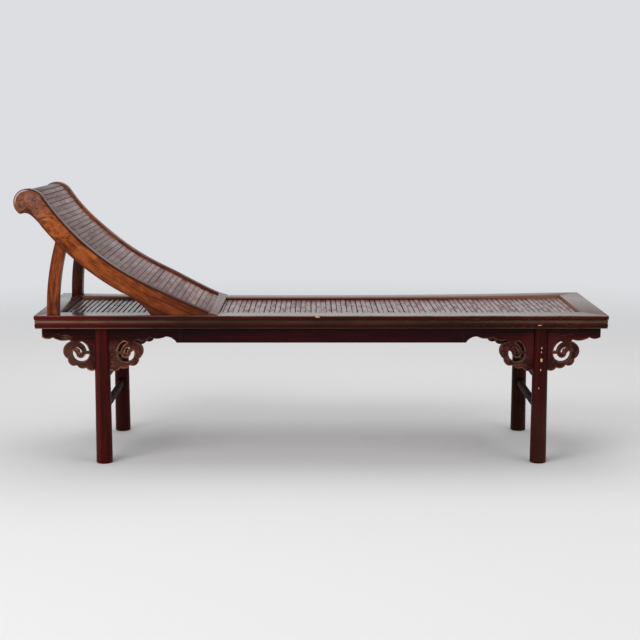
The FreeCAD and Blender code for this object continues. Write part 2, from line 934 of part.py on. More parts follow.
# Post seen from the front: upright at its foot, bending towards the foot end as it rises, and
# coped to the side rail's lower edge.
def post(label, side):
    piece = Piece(label)
    radius = d.post_bend_radius
    centre_x = post_x + radius
    top_angle = arc_sine(neck[1] / radius)
    middle_angle = half(top_angle)

    def on_side(offset, angle):
        return (centre_x - (radius + offset) * cosine(angle), (radius + offset) * sine(angle))

    reach = half(d.post_width)
    outline = [
        (post_x - reach, zero, on_side(reach, middle_angle)),
        on_side(reach, top_angle),
        (*on_side(-reach, top_angle), on_side(-reach, middle_angle)),
        (post_x + reach, zero),
    ]
    low = side * post_middle - half(d.post_depth)
    piece.pad("XZ_Plane", low, d.post_depth, outline)
    piece.pocket("XZ_Plane", low - 1, d.post_depth + 2, above_rail())
    tenon = d.post_tenon_side
    head_x, head_z = post_head()
    piece.pad(
        "XZ_Plane", side * post_middle - half(tenon), tenon,
        rectangle(
            head_x - half(tenon), head_x + half(tenon),
            head_z - d.post_width, head_z + d.post_head_tenon,
        ),
        rectangle(post_x - half(tenon), post_x + half(tenon), -d.post_foot_tenon, tenon),
    )
    piece.place(headrest_x, zero, d.frame_top)


def batten(name):
    piece = Piece(f"headrest_{name}_batten")
    reach = side_rail_inner + d.batten_tenon
    piece.pad("XZ_Plane", -reach, 2 * reach, batten_section(name, zero))
    piece.place(headrest_x, zero, d.frame_top)


# Curved rail at the crest: a skin that lies in the rabbets, a core between the side rails.
def top_rail():
    piece = Piece("headrest_top_rail")
    start = d.top_rail_start_angle
    stop = d.top_rail_end_angle

    def crest_band(upper, lower):
        return [
            arc_of(on_crest, start, zero, upper),
            arc_of(on_head, zero, stop, upper),
            on_head(stop, upper),
            arc_of(on_head, stop, zero, lower),
            arc_of(on_crest, zero, start, lower),
            on_crest(start, lower),
        ]

    skin = rabbet_wall - d.joint_gap
    seat = rabbet_depth - d.slat_seat_gap
    piece.pad("XZ_Plane", -skin, 2 * skin, crest_band(d.headrest_recess, seat))
    core = side_rail_inner - d.slat_seat_gap
    piece.pad(
        "XZ_Plane", -core, 2 * core,
        crest_band(d.headrest_recess, rabbet_depth + d.top_rail_thickness),
    )
    tenon = side_rail_inner + d.top_rail_tenon
    piece.pad("XZ_Plane", -tenon, 2 * tenon, top_rail_tenon_section(zero))
    piece.place(headrest_x, zero, d.frame_top)


def foot_board():
    piece = Piece("headrest_foot_board")
    board = d.foot_board_thickness
    nose = d.foot_board_nose
    piece.pad(
        "XZ_Plane", -side_rail_outer, 2 * side_rail_outer,
        [
            (nose, zero),
            (nose, d.foot_board_nose_height),
            on_lower_bend(board_angle),
            on_lower_bend(board_angle, board),
            (-board / sine(d.foot_angle), zero),
        ],
    )
    piece.place(headrest_x, zero, d.frame_top)


# Headrest strips follow the rabbet's floor, which is three arcs, so each is set out by its
# distance along that floor.
def slope_point(distance, depth):
    headings = [math.radians(angle.value) for angle in (d.foot_angle, d.bend_angle, d.crest_angle)]
    radii = [d.lower_bend_radius.value, d.upper_bend_radius.value]
    x = 0.0
    z = 0.0
    for radius, start, stop in zip(radii, headings, headings[1:]):
        length = (radius + depth) * (stop - start)
        heading = min(start + distance / (radius + depth), stop)
        x += radius * (math.sin(start) - math.sin(heading))
        z += radius * (math.cos(start) - math.cos(heading))
        if distance <= length:
            return x - depth * math.sin(heading), z - depth * math.cos(heading), heading
        distance -= length
    radius = d.crest_radius.value
    heading = headings[-1] - distance / (radius - depth)
    x -= radius * math.sin(headings[-1])
    z -= radius * math.cos(headings[-1])
    reach = radius - depth
    return x + reach * math.sin(heading), z + reach * math.cos(heading), heading


def slope_length(depth):
    arcs = (
        (d.lower_bend_radius.value + depth, d.bend_angle.value - d.foot_angle.value),
        (d.upper_bend_radius.value + depth, d.crest_angle.value - d.bend_angle.value),
        (d.crest_radius.value - depth, d.crest_angle.value - d.top_rail_start_angle.value),
    )
    return sum(radius * math.radians(turn) for radius, turn in arcs)


def headrest_strip():
    half_strip = d.headrest_slat_width.value / 2
    shoulder = d.headrest_slat_thickness.value - d.slat_crown.value
    reach = (rabbet_wall - d.joint_gap).value
    corners = [(half_strip, shoulder), (half_strip, 0), (-half_strip, 0), (-half_strip, shoulder)]
    points = [Vector(x, -reach, z) for x, z in corners]
    edges = [Part.LineSegment(*pair).toShape() for pair in zip(points, points[1:])]
    crown = Vector(0, -reach, d.headrest_slat_thickness.value)
    edges.append(Part.Arc(points[-1], crown, points[0]).toShape())
    return Part.Face(Part.Wire(edges)).extrude(Vector(0, 2 * reach, 0))


def headrest_slats(number, strip):
    depth = (rabbet_depth - d.slat_seat_gap).value
    start = d.foot_board_width.value
    count = int(d.headrest_slat_count.value)
    pitch = (slope_length(depth) - start) / count
    first = count * (number - 1) // HEADREST_SLAT_GROUPS
    last = count * number // HEADREST_SLAT_GROUPS
    strips = []
    for index in range(first, last):
        x, z, heading = slope_point(start + pitch * (index + 0.5), depth)
        strips.append(
            strip.transformed(
                Placement(Vector(x, 0, z), Rotation(Vector(0, 1, 0), math.degrees(heading))).Matrix
            )
        )
    group = doc.addObject("Part::Feature", f"headrest_slats_{number}")
    group.Label = f"headrest_slats_{number}"
    group.Shape = Part.makeCompound(strips)
    for axis, size in (("x", headrest_x), ("z", d.frame_top)):
        group.setExpression(f"Placement.Base.{axis}", size.text)


for side_name, side in sides.items():
    long_rail(f"{side_name}_rail", side)
    middle_apron(f"{side_name}_apron", side)
    stringer(side_name, side)
    side_rail(f"headrest_{side_name}_side_rail", side)
    post(f"headrest_{side_name}_post", side)

for end_name, end in ends.items():
    end_rail(f"{end_name}_end_rail", end)
    end_apron(f"{end_name}_end_apron", end)
    side_stretcher(f"{end_name}_lower_stretcher", end, d.lower_stretcher_level)
    side_stretcher(f"{end_name}_upper_stretcher", end, d.upper_stretcher_level)
    for side_name, side in sides.items():
        leg(f"{end_name}_{side_name}_leg", end, side)
        scrolled_board(f"{end_name}_{side_name}_outer_scroll", end, side, 1, d.scroll_reach_outer)
        scrolled_board(f"{end_name}_{side_name}_inner_scroll", end, side, -1, d.scroll_reach_inner)

for number, place in enumerate((-1.5, -0.5, 0.5, 1.5), start=1):
    bearer(number, place)

for number in range(1, SEAT_SLAT_GROUPS + 1):
    seat_slats(number)

for name in batten_places:
    batten(name)

top_rail()
foot_board()
strip = headrest_strip()
for number in range(1, HEADREST_SLAT_GROUPS + 1):
    headrest_slats(number, strip)

doc.recompute()

nodes = [item for item in doc.Objects if item.TypeId in ("PartDesign::Body", "Part::Feature")]
nodes = [item for item in nodes if item.getParentGeoFeatureGroup() is None]
faults = [
    f"{item.Name}: {item.State}"
    for item in doc.Objects
    if "Invalid" in item.State or "Error" in item.State
]
for item in nodes:
    if item.Shape.isNull() or not item.Shape.isValid() or item.Shape.Volume <= 0:
        faults.append(f"{item.Label}: no valid solid")
if faults:
    raise RuntimeError("\n".join(faults))

os.makedirs("parts", exist_ok=True)
for item in nodes:
    item.Shape.exportStep(f"parts/{item.Label}.step")
    print(item.Label, len(item.Shape.Solids), round(item.Shape.Volume))
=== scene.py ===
import bmesh
import bpy
import json
import math
from mathutils import Matrix, Vector


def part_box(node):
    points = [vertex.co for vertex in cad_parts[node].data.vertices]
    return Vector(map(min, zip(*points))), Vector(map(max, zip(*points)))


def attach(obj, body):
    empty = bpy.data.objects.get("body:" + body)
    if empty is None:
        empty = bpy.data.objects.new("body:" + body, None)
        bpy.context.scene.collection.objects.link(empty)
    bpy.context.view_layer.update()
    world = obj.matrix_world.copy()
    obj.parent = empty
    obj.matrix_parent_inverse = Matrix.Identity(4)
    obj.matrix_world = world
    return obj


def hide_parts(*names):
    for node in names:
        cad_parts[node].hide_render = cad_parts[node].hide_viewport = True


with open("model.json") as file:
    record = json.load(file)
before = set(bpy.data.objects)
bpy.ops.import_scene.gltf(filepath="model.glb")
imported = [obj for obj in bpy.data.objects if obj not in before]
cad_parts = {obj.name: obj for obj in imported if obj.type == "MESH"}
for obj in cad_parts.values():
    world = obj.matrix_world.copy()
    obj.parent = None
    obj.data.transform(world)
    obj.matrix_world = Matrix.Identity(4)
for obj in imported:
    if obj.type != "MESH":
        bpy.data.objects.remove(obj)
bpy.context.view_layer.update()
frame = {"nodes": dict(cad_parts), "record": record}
cadNodes = frame["nodes"]
slotOfNode = {row["node"]: row["material_slot"] for row in frame["record"]["subparts"]}
print("frame loaded:", len(cadNodes), "nodes")


# A node socket that takes part in sums

class Wire:
    def __init__(self, net, socket):
        self.net = net
        self.socket = socket

    def __add__(self, other):
        return self.net.math("ADD", self, other)

    def __radd__(self, other):
        return self.net.math("ADD", other, self)

    def __sub__(self, other):
        return self.net.math("SUBTRACT", self, other)

    def __rsub__(self, other):
        return self.net.math("SUBTRACT", other, self)

    def __mul__(self, other):
        return self.net.math("MULTIPLY", self, other)

    def __rmul__(self, other):
        return self.net.math("MULTIPLY", other, self)

    def __truediv__(self, other):
        return self.net.math("DIVIDE", self, other)

    def __gt__(self, other):
        return self.net.math("GREATER_THAN", self, other)

    def __abs__(self):
        return self.net.math("ABSOLUTE", self)


class Net:
    def __init__(self, tree):
        self.tree = tree

    def node(self, kind, settings=None, inputs=None, output=0):
        made = self.tree.nodes.new(kind)
        for name, value in (settings or {}).items():
            if name == "stops":
                self.setStops(made.color_ramp, value)
            else:
                setattr(made, name, value)
        for key, value in (inputs or {}).items():
            if isinstance(value, Wire):
                self.tree.links.new(value.socket, made.inputs[key])
            else:
                made.inputs[key].default_value = value
        return Wire(self, made.outputs[output]) if len(made.outputs) else None

    def setStops(self, ramp, stops):
        while len(ramp.elements) < len(stops):
            ramp.elements.new(1)
        for element, (place, colour) in zip(ramp.elements, stops):
            element.position = place
            element.color = colour

    def math(self, operation, *values):
        return self.node("ShaderNodeMath", {"operation": operation}, dict(enumerate(values)))

    def join(self, x, y, z):
        return self.node("ShaderNodeCombineXYZ", None, {0: x, 1: y, 2: z})

    def split(self, vector):
        first = self.node("ShaderNodeSeparateXYZ", None, {0: vector})
        return [Wire(self, socket) for socket in first.socket.node.outputs]


def rgb(red, green, blue):
    return (red, green, blue, 1)


def objectPlace(net):
    return net.node("ShaderNodeTexCoord", output="Object")


def faceNormal(net):
    return net.split(net.node("ShaderNodeTexCoord", output="Normal"))


def stored(net, name):
    return net.node("ShaderNodeAttribute", {"attribute_name": name}, output="Fac")


def noise(place, scale, detail=3, roughness=0.5, distortion=0):
    return place.net.node(
        "ShaderNodeTexNoise", None,
        {"Vector": place, "Scale": scale, "Detail": detail, "Roughness": roughness,
         "Distortion": distortion},
    )


def stretched(place, x, y, z):
    return place.net.node(
        "ShaderNodeVectorMath", {"operation": "MULTIPLY"}, {0: place, 1: (x, y, z)}
    )


# Masks: a smooth step up, a smooth step down and a soft band
def rise(value, low, high):
    return value.net.node(
        "ShaderNodeMapRange", {"interpolation_type": "SMOOTHSTEP"},
        {"Value": value, "From Min": low, "From Max": high},
    )


def fall(value, low, high):
    return 1 - rise(value, low, high)


def band(value, middle, halfWidth, blur):
    return fall(abs(value - middle), halfWidth, halfWidth + blur)


def capped(value):
    return value.net.math("MINIMUM", value, 1)


def distance(across, over):
    return across.net.math("SQRT", across * across + over * over)


def blend(factor, first, second):
    return first.net.node(
        "ShaderNodeMix", {"data_type": "RGBA"}, {0: factor, 6: first, 7: second}, 2
    )


def ramp(factor, *stops):
    return factor.net.node("ShaderNodeValToRGB", {"stops": stops}, {0: factor})


def newMaterial(name):
    material = bpy.data.materials.new(name)
    material.use_nodes = True
    material.node_tree.nodes.clear()
    return material, Net(material.node_tree)


def finished(colour, roughness, height, relief, gloss, polish=0.0):
    net = colour.net
    bump = net.node(
        "ShaderNodeBump", None, {"Strength": 1.0, "Distance": relief, "Height": height}
    )
    surface = net.node(
        "ShaderNodeBsdfPrincipled", None,
        {"Base Color": colour, "Roughness": roughness, "Normal": bump,
         "Specular IOR Level": gloss, "Coat Weight": polish, "Coat Roughness": 0.15},
    )
    net.node("ShaderNodeOutputMaterial", None, {"Surface": surface})


# How far a face looks up, from 0 on upright faces to 1 on level ones
def facingUp(net):
    return rise(faceNormal(net)[2], 0.30, 0.90)


# Small marks at fixed places, seen from the front, as one mask. Each mark is given by its
# middle, half width and half height in metres.
def markMask(x, z, fray, marks):
    mask = 0
    for markX, markZ, halfWidth, halfHeight in marks:
        far = distance((x - markX) / halfWidth, (z - markZ) / halfHeight) + fray
        mask = mask + fall(far, 0.8, 1.15)
    return capped(mask)


# Lines along a moulding, as one mask
def lineMask(level, lines):
    mask = 0
    for middle, halfWidth, blur, strength in lines:
        mask = mask + band(level, middle, halfWidth, blur) * strength
    return mask


# Fine pores and broad streaks, long in the direction of the grain
def grain(place, alongX, alongY, alongZ):
    fine = noise(stretched(place, alongX * 10, alongY * 10, alongZ * 10), 26, 3, 0.6)
    broad = noise(stretched(place, alongX * 5, alongY * 5, alongZ * 5), 11, 3, 0.55, 0.3)
    return fine, broad


# Lacquered wood, shared by the frame, the legs and the boards

lacquer = {
    "deep": rgb(0.010, 0.0015, 0.0015),
    "body": rgb(0.032, 0.004, 0.003),
    "red": rgb(0.090, 0.006, 0.005),
    "brown": rgb(0.105, 0.036, 0.022),
    "worn": rgb(0.230, 0.100, 0.056),
    "bare": rgb(0.640, 0.350, 0.200),
    "gloss": 0.06, "relief": 0.0004,
}


def lacquerColour(fine, broad, patches, warmth):
    tone = broad * 0.6 + fine * 0.2 + patches * 0.2 + warmth
    return ramp(
        tone, (0.34, lacquer["deep"]), (0.50, lacquer["body"]), (0.68, lacquer["red"])
    )


# Frame rails. Heights are in millimetres above the underside, and a moulding line has its
# height, half width, blur and strength. Places along x and y are in metres.

railWood = {
    "smoky": rgb(0.030, 0.010, 0.006),
    "reed": rgb(0.290, 0.135, 0.082),
    "innerFaceLight": rgb(0.255, 0.098, 0.050),
    "topDark": rgb(0.080, 0.034, 0.024),
    "topPaleAndSheen": rgb(0.165, 0.094, 0.074),
    "arrisWearAndHighlight": rgb(0.330, 0.180, 0.110),
    "dent": rgb(0.085, 0.050, 0.030),
    "roughness": 0.30, "wornAll": 0.13, "wornEnds": 0.27, "wornHeadEnd": 0.66,
    "headEnd": (-0.88, -0.32), "footEnd": (0.20, 0.70), "ends": (0.45, 0.90),
    "openingX": (0.90, 0.93), "openingY": (0.215, 0.235), "sideEdge": (0.2855, 0.2880),
    "endEdge": (0.0040, 0.0015), "headrestFoot": (-0.34, -0.20),
    "underside": 0.464, "lowerBand": (12, 17), "innerLip": (30, 34), "topArris": (39.8, 42.4),
    "raised": [
        (20.8, 1.0, 1.2, 1), (25.2, 1.0, 1.2, 1), (1.6, 0.9, 1.2, 0.8), (29.8, 0.3, 0.8, 0.3),
    ],
    "grooveShade": [(17.8, 0.5, 0.8, 1), (28.4, 0.4, 0.6, 1), (23, 0.1, 0.7, 1)],
    "chips": [(0.0147, 0.5042, 0.0085, 0.0026), (0.7505, 0.4752, 0.0068, 0.0014)],
    "dents": [(-0.505, 0.4905, 0.020, 0.005), (0.31, 0.4880, 0.008, 0.003)],
}
headEndX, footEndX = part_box("head_end_rail")[0][0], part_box("foot_end_rail")[1][0]
frameMiddle, halfFrame = (headEndX + footEndX) / 2, (footEndX - headEndX) / 2


def makeRailWood(name, *grainAlong):
    material, net = newMaterial(name)
    place = objectPlace(net)
    x, y, z = net.split(place)
    level = (z - railWood["underside"]) * 1000
    up = facingUp(net)
    upright = 1 - up
    headEnd = fall(x, *railWood["headEnd"])
    ends = rise(abs(x), *railWood["ends"])
    fine, broad = grain(place, *grainAlong)
    patches = noise(place, 4.0, 2, 0.6)
    wear = noise(stretched(place, 11, 11, 30), 1, 4, 0.65)
    colour = lacquerColour(fine, broad, patches, headEnd * 0.18 - 0.02)
    colour = blend((1 - headEnd) * 0.45, colour, railWood["smoky"])
    lowerBand = fall(level, *railWood["lowerBand"]) * upright
    colour = blend(lowerBand * 0.40, colour, lacquer["deep"])

    # raised lines rubbed pale, and painted shade in the grooves beside them
    worn = railWood["wornAll"] + ends * railWood["wornEnds"] + headEnd * railWood["wornHeadEnd"]
    exposed = lineMask(level, railWood["raised"]) * (1 - up * 0.7) * worn
    rubbed = capped(exposed * rise(wear, 0.22, 0.55))
    colour = blend(rubbed * 0.85, colour, railWood["reed"])
    grooveShade = capped(lineMask(level, railWood["grooveShade"]) * upright)
    colour = blend(grooveShade * 0.7, colour, lacquer["deep"])

    # painted light on the inner face of the lip round the seat
    litInnerFace = fall(abs(y), *railWood["openingY"]) * fall(abs(x), *railWood["openingX"])
    litInnerFace = litInnerFace * rise(level, *railWood["innerLip"])
    colour = blend(litInnerFace * upright * 0.95, colour, railWood["innerFaceLight"])

    # fine scratches, and slanting scrapes towards the foot end
    scratches = rise(noise(stretched(place, 16, 16, 420), 1, 3, 0.6), 0.60, 0.72)
    colour = blend(scratches * (0.15 + ends * 0.45) * upright, colour, lacquer["brown"])
    leaning = net.join(x * 60 + z * 160, y * 60, z * 420)
    scrapes = rise(noise(leaning, 1, 2, 0.5), 0.66, 0.72) * rise(x, *railWood["footEnd"])
    colour = blend(scrapes * 0.55 * upright, colour, lacquer["worn"])

    # top faces paler, partly worn wood and partly painted sheen, with a pale outer edge that is
    # partly wear and partly a painted highlight
    top = ramp(
        broad * 0.6 + fine * 0.4, (0.36, railWood["topDark"]), (0.64, railWood["topPaleAndSheen"])
    )
    colour = blend(up * 0.7, colour, top)
    inner, outer = [halfFrame - inset for inset in railWood["endEdge"]]
    inside = fall(abs(y), *railWood["sideEdge"]) * fall(abs(x - frameMiddle), inner, outer)
    bySeat = 0.35 + rise(x, *railWood["headrestFoot"]) * 0.65
    arrisWearAndHighlight = rise(level, *railWood["topArris"]) * (1 - inside)
    arrisWearAndHighlight = arrisWearAndHighlight * rise(wear, 0.25, 0.60) * bySeat
    colour = blend(arrisWearAndHighlight * 0.75, colour, railWood["arrisWearAndHighlight"])

    # dents and chips on the front
    front = fall(y, -0.29, -0.25)
    fray = (noise(place, 220, 2, 0.6) - 0.5) * 0.7
    dents = markMask(x, z, fray, railWood["dents"]) * front
    colour = blend(dents * 0.5, colour, railWood["dent"])
    chips = markMask(x, z, fray, railWood["chips"]) * front
    colour = blend(chips, colour, lacquer["bare"])
    roughness = railWood["roughness"] + broad * 0.12 + rubbed * 0.15
    height = fine * 0.5 + broad * 0.5 - chips * 1.5
    shine = up * (0.85 - rise(x, 0.60, 0.95) * 0.28)
    finished(colour, roughness, height, lacquer["relief"], lacquer["gloss"], shine)
    return material


# Legs and stretchers: chipped on the front of the foot end's leg, scuffed at the feet

legWood = {
    "wine": rgb(0.170, 0.014, 0.016),
    "umber": rgb(0.044, 0.018, 0.008),
    "front": (-0.15, 0.0), "footEnd": (0.0, 0.6), "feet": (0.02, 0.20), "lowBrown": (0.06, 0.30),
    "leg": {
        "grain": (1, 1, 0.05), "warmth": 0.04, "roughness": 0.30, "gloss": 0.045, "polish": 0.02,
    },
    "stretcher": {
        "grain": (1, 0.05, 1), "warmth": 0.0, "roughness": 0.55, "gloss": 0.03, "polish": 0.0,
    },
    "chips": [
        (0.7620, 0.3948, 0.0020, 0.0042), (0.7610, 0.3812, 0.0016, 0.0036),
        (0.7617, 0.3541, 0.0038, 0.0064), (0.7600, 0.3210, 0.0018, 0.0036),
        (0.7549, 0.2588, 0.0014, 0.0032),
    ],
}


def makeLegWood(name, look):
    material, net = newMaterial(name)
    place = objectPlace(net)
    x, y, z = net.split(place)
    fine, broad = grain(place, *look["grain"])
    patches = noise(place, 5, 2, 0.6)
    front = fall(y, *legWood["front"])
    footEnd = rise(x, *legWood["footEnd"])
    warmth = front * 0.05 - 0.04 + look["warmth"] - footEnd * 0.095
    colour = lacquerColour(fine, broad * 0.5 + 0.25, patches, warmth)
    # painted light: the side of each front leg that faces the head end is painted a brighter wine
    # red
    paintedSideLight = band(faceNormal(net)[0], -0.55, 0.10, 0.35) * (1 - footEnd * 0.7)
    colour = blend(paintedSideLight * front * 0.28, colour, legWood["wine"])
    fray = (noise(place, 260, 2, 0.6) - 0.5) * 0.6
    chips = markMask(x, z, fray, legWood["chips"]) * fall(y, -0.24, -0.22)
    colour = blend(chips, colour, lacquer["bare"])
    scuffs = rise(noise(stretched(place, 30, 30, 6), 1, 4, 0.7), 0.60, 0.78)
    feet = fall(z, *legWood["feet"])
    colour = blend(scuffs * (0.15 + feet * 0.7), colour, lacquer["worn"])
    lowBrown = footEnd * fall(z, *legWood["lowBrown"]) * rise(patches, 0.30, 0.60)
    colour = blend(lowBrown * 0.6, colour, legWood["umber"])
    roughness = look["roughness"] + broad * 0.14 + scuffs * 0.1
    height = fine * 0.6 + broad * 0.4 - chips
    finished(colour, roughness, height, lacquer["relief"], look["gloss"], look["polish"])
    return material


# Boards: brown about the scrolls, with painted shade in the sunk field, and pale where the carved
# rims stand up, partly rubbed and partly a painted highlight

boardWood = {
    "shadow": rgb(0.003, 0.0005, 0.0005),
    "wine": rgb(0.022, 0.0015, 0.005),
    "tan": rgb(0.190, 0.082, 0.060),
    "plum": rgb(0.070, 0.007, 0.009),
    "rim": rgb(0.360, 0.140, 0.075),
    "roughness": 0.34, "legX": 0.765,
    "ends": (0.50, 0.62), "middle": (0.58, 0.62), "headLobe": (-0.80, -0.72),
    "lobes": (0.375, 0.425), "underFrame": (0.440, 0.460),
    "wineBand": (0.427, 0.012, 0.014), "plumBand": (0.400, 0.026, 0.028),
}


def makeBoardWood():
    material, net = newMaterial("boardWood")
    place = objectPlace(net)
    x, y, z = net.split(place)
    fine, broad = grain(place, 0.05, 1, 1)
    patches = noise(place, 26, 3, 0.65)
    colour = lacquerColour(fine, broad, patches, -0.03)
    low = fall(z, *boardWood["lobes"])
    ends = rise(abs(x), *boardWood["ends"])
    headEnd = fall(x, -0.5, 0.5)
    fromLeg = abs(abs(x) - boardWood["legX"])
    browned = low * ends * rise(patches, 0.30, 0.68) * (0.65 + headEnd * 0.25)
    browned = browned * (0.35 + rise(fromLeg, 0.030, 0.085) * 0.65)
    colour = blend(browned, colour, lacquer["brown"])

    # shade under the frame, and a wine red middle apron
    shaded = rise(z, *boardWood["underFrame"])
    colour = blend(shaded * 0.85, colour, boardWood["shadow"])
    wine = band(z, *boardWood["wineBand"]) * fall(abs(x), *boardWood["middle"])
    colour = blend(wine * 0.5, colour, boardWood["wine"])

    # the sunk field, darkened as painted shade, mottled brown on the lobes and plum by the legs
    rim = stored(net, "rim")
    field = low * ends * fall(rim, 0.2, 0.8)
    colour = blend(field * 0.35, colour, lacquer["deep"])
    mottle = rise(noise(place, 95, 4, 0.72), 0.47, 0.64)
    mottle = mottle * field * (0.30 + rise(fromLeg, 0.045, 0.090) * 0.70)
    headLobe = fall(x, *boardWood["headLobe"])
    browned = mottle * (0.45 + headLobe * 0.30) + field * headLobe * 0.25
    colour = blend(browned, colour, boardWood["tan"])
    byLeg = fall(fromLeg, 0.035, 0.080) * band(z, *boardWood["plumBand"])
    colour = blend(byLeg * ends * (1 - headEnd) * 0.75, colour, boardWood["plum"])

    # rims rubbed pale, partly wear and partly a painted highlight
    wear = rise(noise(place, 34, 4, 0.68), 0.42, 0.66)
    rubbed = rim * ends * (0.12 + wear * 0.75) * (0.35 + headEnd * 0.65)
    colour = blend(rubbed, colour, boardWood["rim"])
    roughness = boardWood["roughness"] + broad * 0.14
    height = fine * 0.5 + broad * 0.5
    polish = 0.02 + rim * 0.25
    finished(colour, roughness, height, lacquer["relief"], lacquer["gloss"], polish)
    return material


# The headrest's slope, in metres and degrees: two hollow arcs up from the foot, then the
# round crest

slope = {
    "tipX": -0.32129, "tipZ": 0.508, "footAngle": 22.2, "bendAngle": 27, "crestAngle": 56,
    "topRailAngle": 27, "lowerRadius": 3.250, "upperRadius": 0.838, "crestRadius": 0.060,
    "rabbetDepth": 0.00985, "footBoard": 0.0255, "railDepth": 0.062,
}


# Way along the upper edge and depth below it, for a point on a side rail
def slopeLie(x, z):
    angles = slope["footAngle"], slope["bendAngle"], slope["crestAngle"]
    foot, bend, crest = [math.radians(angle) for angle in angles]
    lower, upper, top = slope["lowerRadius"], slope["upperRadius"], slope["crestRadius"]
    lowerX = slope["tipX"] + lower * math.sin(foot)
    lowerZ = slope["tipZ"] + lower * math.cos(foot)
    upperX = lowerX - (lower - upper) * math.sin(bend)
    upperZ = lowerZ - (lower - upper) * math.cos(bend)
    topX = upperX - (upper + top) * math.sin(crest)
    topZ = upperZ - (upper + top) * math.cos(crest)
    toBend = lower * (bend - foot)
    toCrest = toBend + upper * (crest - bend)

    def polar(across, over):  # heading from straight up, and distance
        return x.net.math("ARCTAN2", across, over), distance(across, over)

    lowerHeading, lowerFar = polar(lowerX - x, lowerZ - z)
    upperHeading, upperFar = polar(upperX - x, upperZ - z)
    topHeading, topFar = polar(x - topX, z - topZ)
    pastBend, pastCrest = lowerHeading > bend, upperHeading > crest

    def chosen(onLower, onUpper, onTop):
        hollow = onLower + (onUpper - onLower) * pastBend
        return hollow + (onTop - hollow) * pastCrest

    along = chosen(
        (lowerHeading - foot) * lower, (upperHeading - bend) * upper + toBend,
        (crest - topHeading) * top + toCrest,
    )
    depth = chosen(lowerFar - lower, upperFar - upper, top - topFar)
    return along, depth, pastCrest


# Headrest side rails and posts: orange-brown wood whose grain follows the slope

headrestWood = {
    "darkest": rgb(0.040, 0.007, 0.002),
    "dark": rgb(0.110, 0.021, 0.005),
    "body": rgb(0.240, 0.052, 0.010),
    "bright": rgb(0.400, 0.110, 0.022),
    "flame": rgb(0.480, 0.160, 0.035),
    "knot": rgb(0.050, 0.018, 0.012),
    "crack": rgb(0.015, 0.004, 0.002),
    "headSheen": rgb(0.150, 0.107, 0.100),
    "fleck": rgb(0.230, 0.160, 0.170),
    "headHighlight": rgb(0.620, 0.450, 0.380),
    "scuff": rgb(0.26, 0.15, 0.10),
    "farSide": rgb(0.030, 0.011, 0.008),
    "innerSheenLine": rgb(0.190, 0.130, 0.105),
    "roughness": 0.33, "gloss": 0.09, "relief": 0.0005, "polish": 0.04, "topPolish": 0.12,
    "knots": [
        (-0.957, 0.8715, 0.009, 0.008), (-0.922, 0.893, 0.016, 0.006),
        (-0.905, 0.884, 0.012, 0.005), (-0.700, 0.700, 0.009, 0.006),
    ],
    "cracks": [
        (-0.893, 0.8265, 0.007, 0.0022), (-0.884, 0.8300, 0.007, 0.0016),
        (-0.875, 0.8325, 0.006, 0.0018),
    ],
    "glow": [
        (-0.884, 0.836, 0.026, 0.011), (-0.840, 0.795, 0.040, 0.030),
        (-0.745, 0.715, 0.040, 0.026),
    ],
    "burl": [(-0.905, 0.860, 0.075, 0.065), (-0.845, 0.800, 0.065, 0.060)],
    "flecks": [(-0.913, 0.890, 0.017, 0.012), (-0.934, 0.898, 0.012, 0.008)],
    "gleam": [(-0.8866, 0.8415, 0.013, 0.0060), (-0.872, 0.826, 0.014, 0.0050)],
    "headX": -0.9328, "headZ": 0.8806, "headRadius": 0.0452, "headSheenReach": (0.030, 0.115),
    "footReach": (0.05, 0.40), "footTone": 0.33722,
}


# Tone, figure and relief of the grain
def figuredGrain(net, along, slanted, y, knot=0):
    sway = noise(net.join(along * 5, slanted * 12, y * 3), 1, 2, 0.5)
    wavy = slanted + sway * 0.035 + knot * 0.01
    fine = noise(net.join(along * 14, wavy * 420, y * 90), 1, 3, 0.6)
    figure = noise(net.join(along * 6, wavy * 85, y * 18), 1, 5, 0.68, 0.7)
    clouds = noise(net.join(along * 22, slanted * 48, y * 14), 1, 4, 0.62, 0.4)
    return figure * 0.46 + fine * 0.26 + clouds * 0.28, figure, fine * 0.4 + figure * 0.6


def headrestColour(tone):
    return ramp(
        tone, (0.36, headrestWood["darkest"]), (0.44, headrestWood["dark"]),
        (0.51, headrestWood["body"]), (0.62, headrestWood["bright"]),
    )


# Scuffs, and painted shade on the far side
def scuffedAndShaded(colour, lie, y, farSide):
    scuffs = rise(noise(lie, 1, 4, 0.7), 0.62, 0.8)
    colour = blend(scuffs * 0.35, colour, headrestWood["scuff"])
    return blend(rise(y, 0.0, 0.24) * farSide, colour, headrestWood["farSide"])


def finishedHeadrest(colour, figure, height, up, topFace=0, inner=0):
    polish = headrestWood["polish"] + up * headrestWood["topPolish"]
    polish = polish * (1 - topFace) + inner * 0.30
    roughness = headrestWood["roughness"] + figure * 0.14 + (topFace - inner) * 0.40
    finished(colour, roughness, height, headrestWood["relief"], headrestWood["gloss"], polish)


def makePostWood():
    material, net = newMaterial("headrestPostWood")
    x, y, z = net.split(objectPlace(net))
    slanted = x - (z - 0.60) * (z - 0.60) * 0.25 - z * 0.12
    tone, figure, height = figuredGrain(net, z, slanted, y)
    colour = headrestColour(tone - 0.025)
    colour = scuffedAndShaded(colour, net.join(z * 40, x * 90, y * 20), y, 0.75)
    finishedHeadrest(colour, figure, height, facingUp(net))
    return material


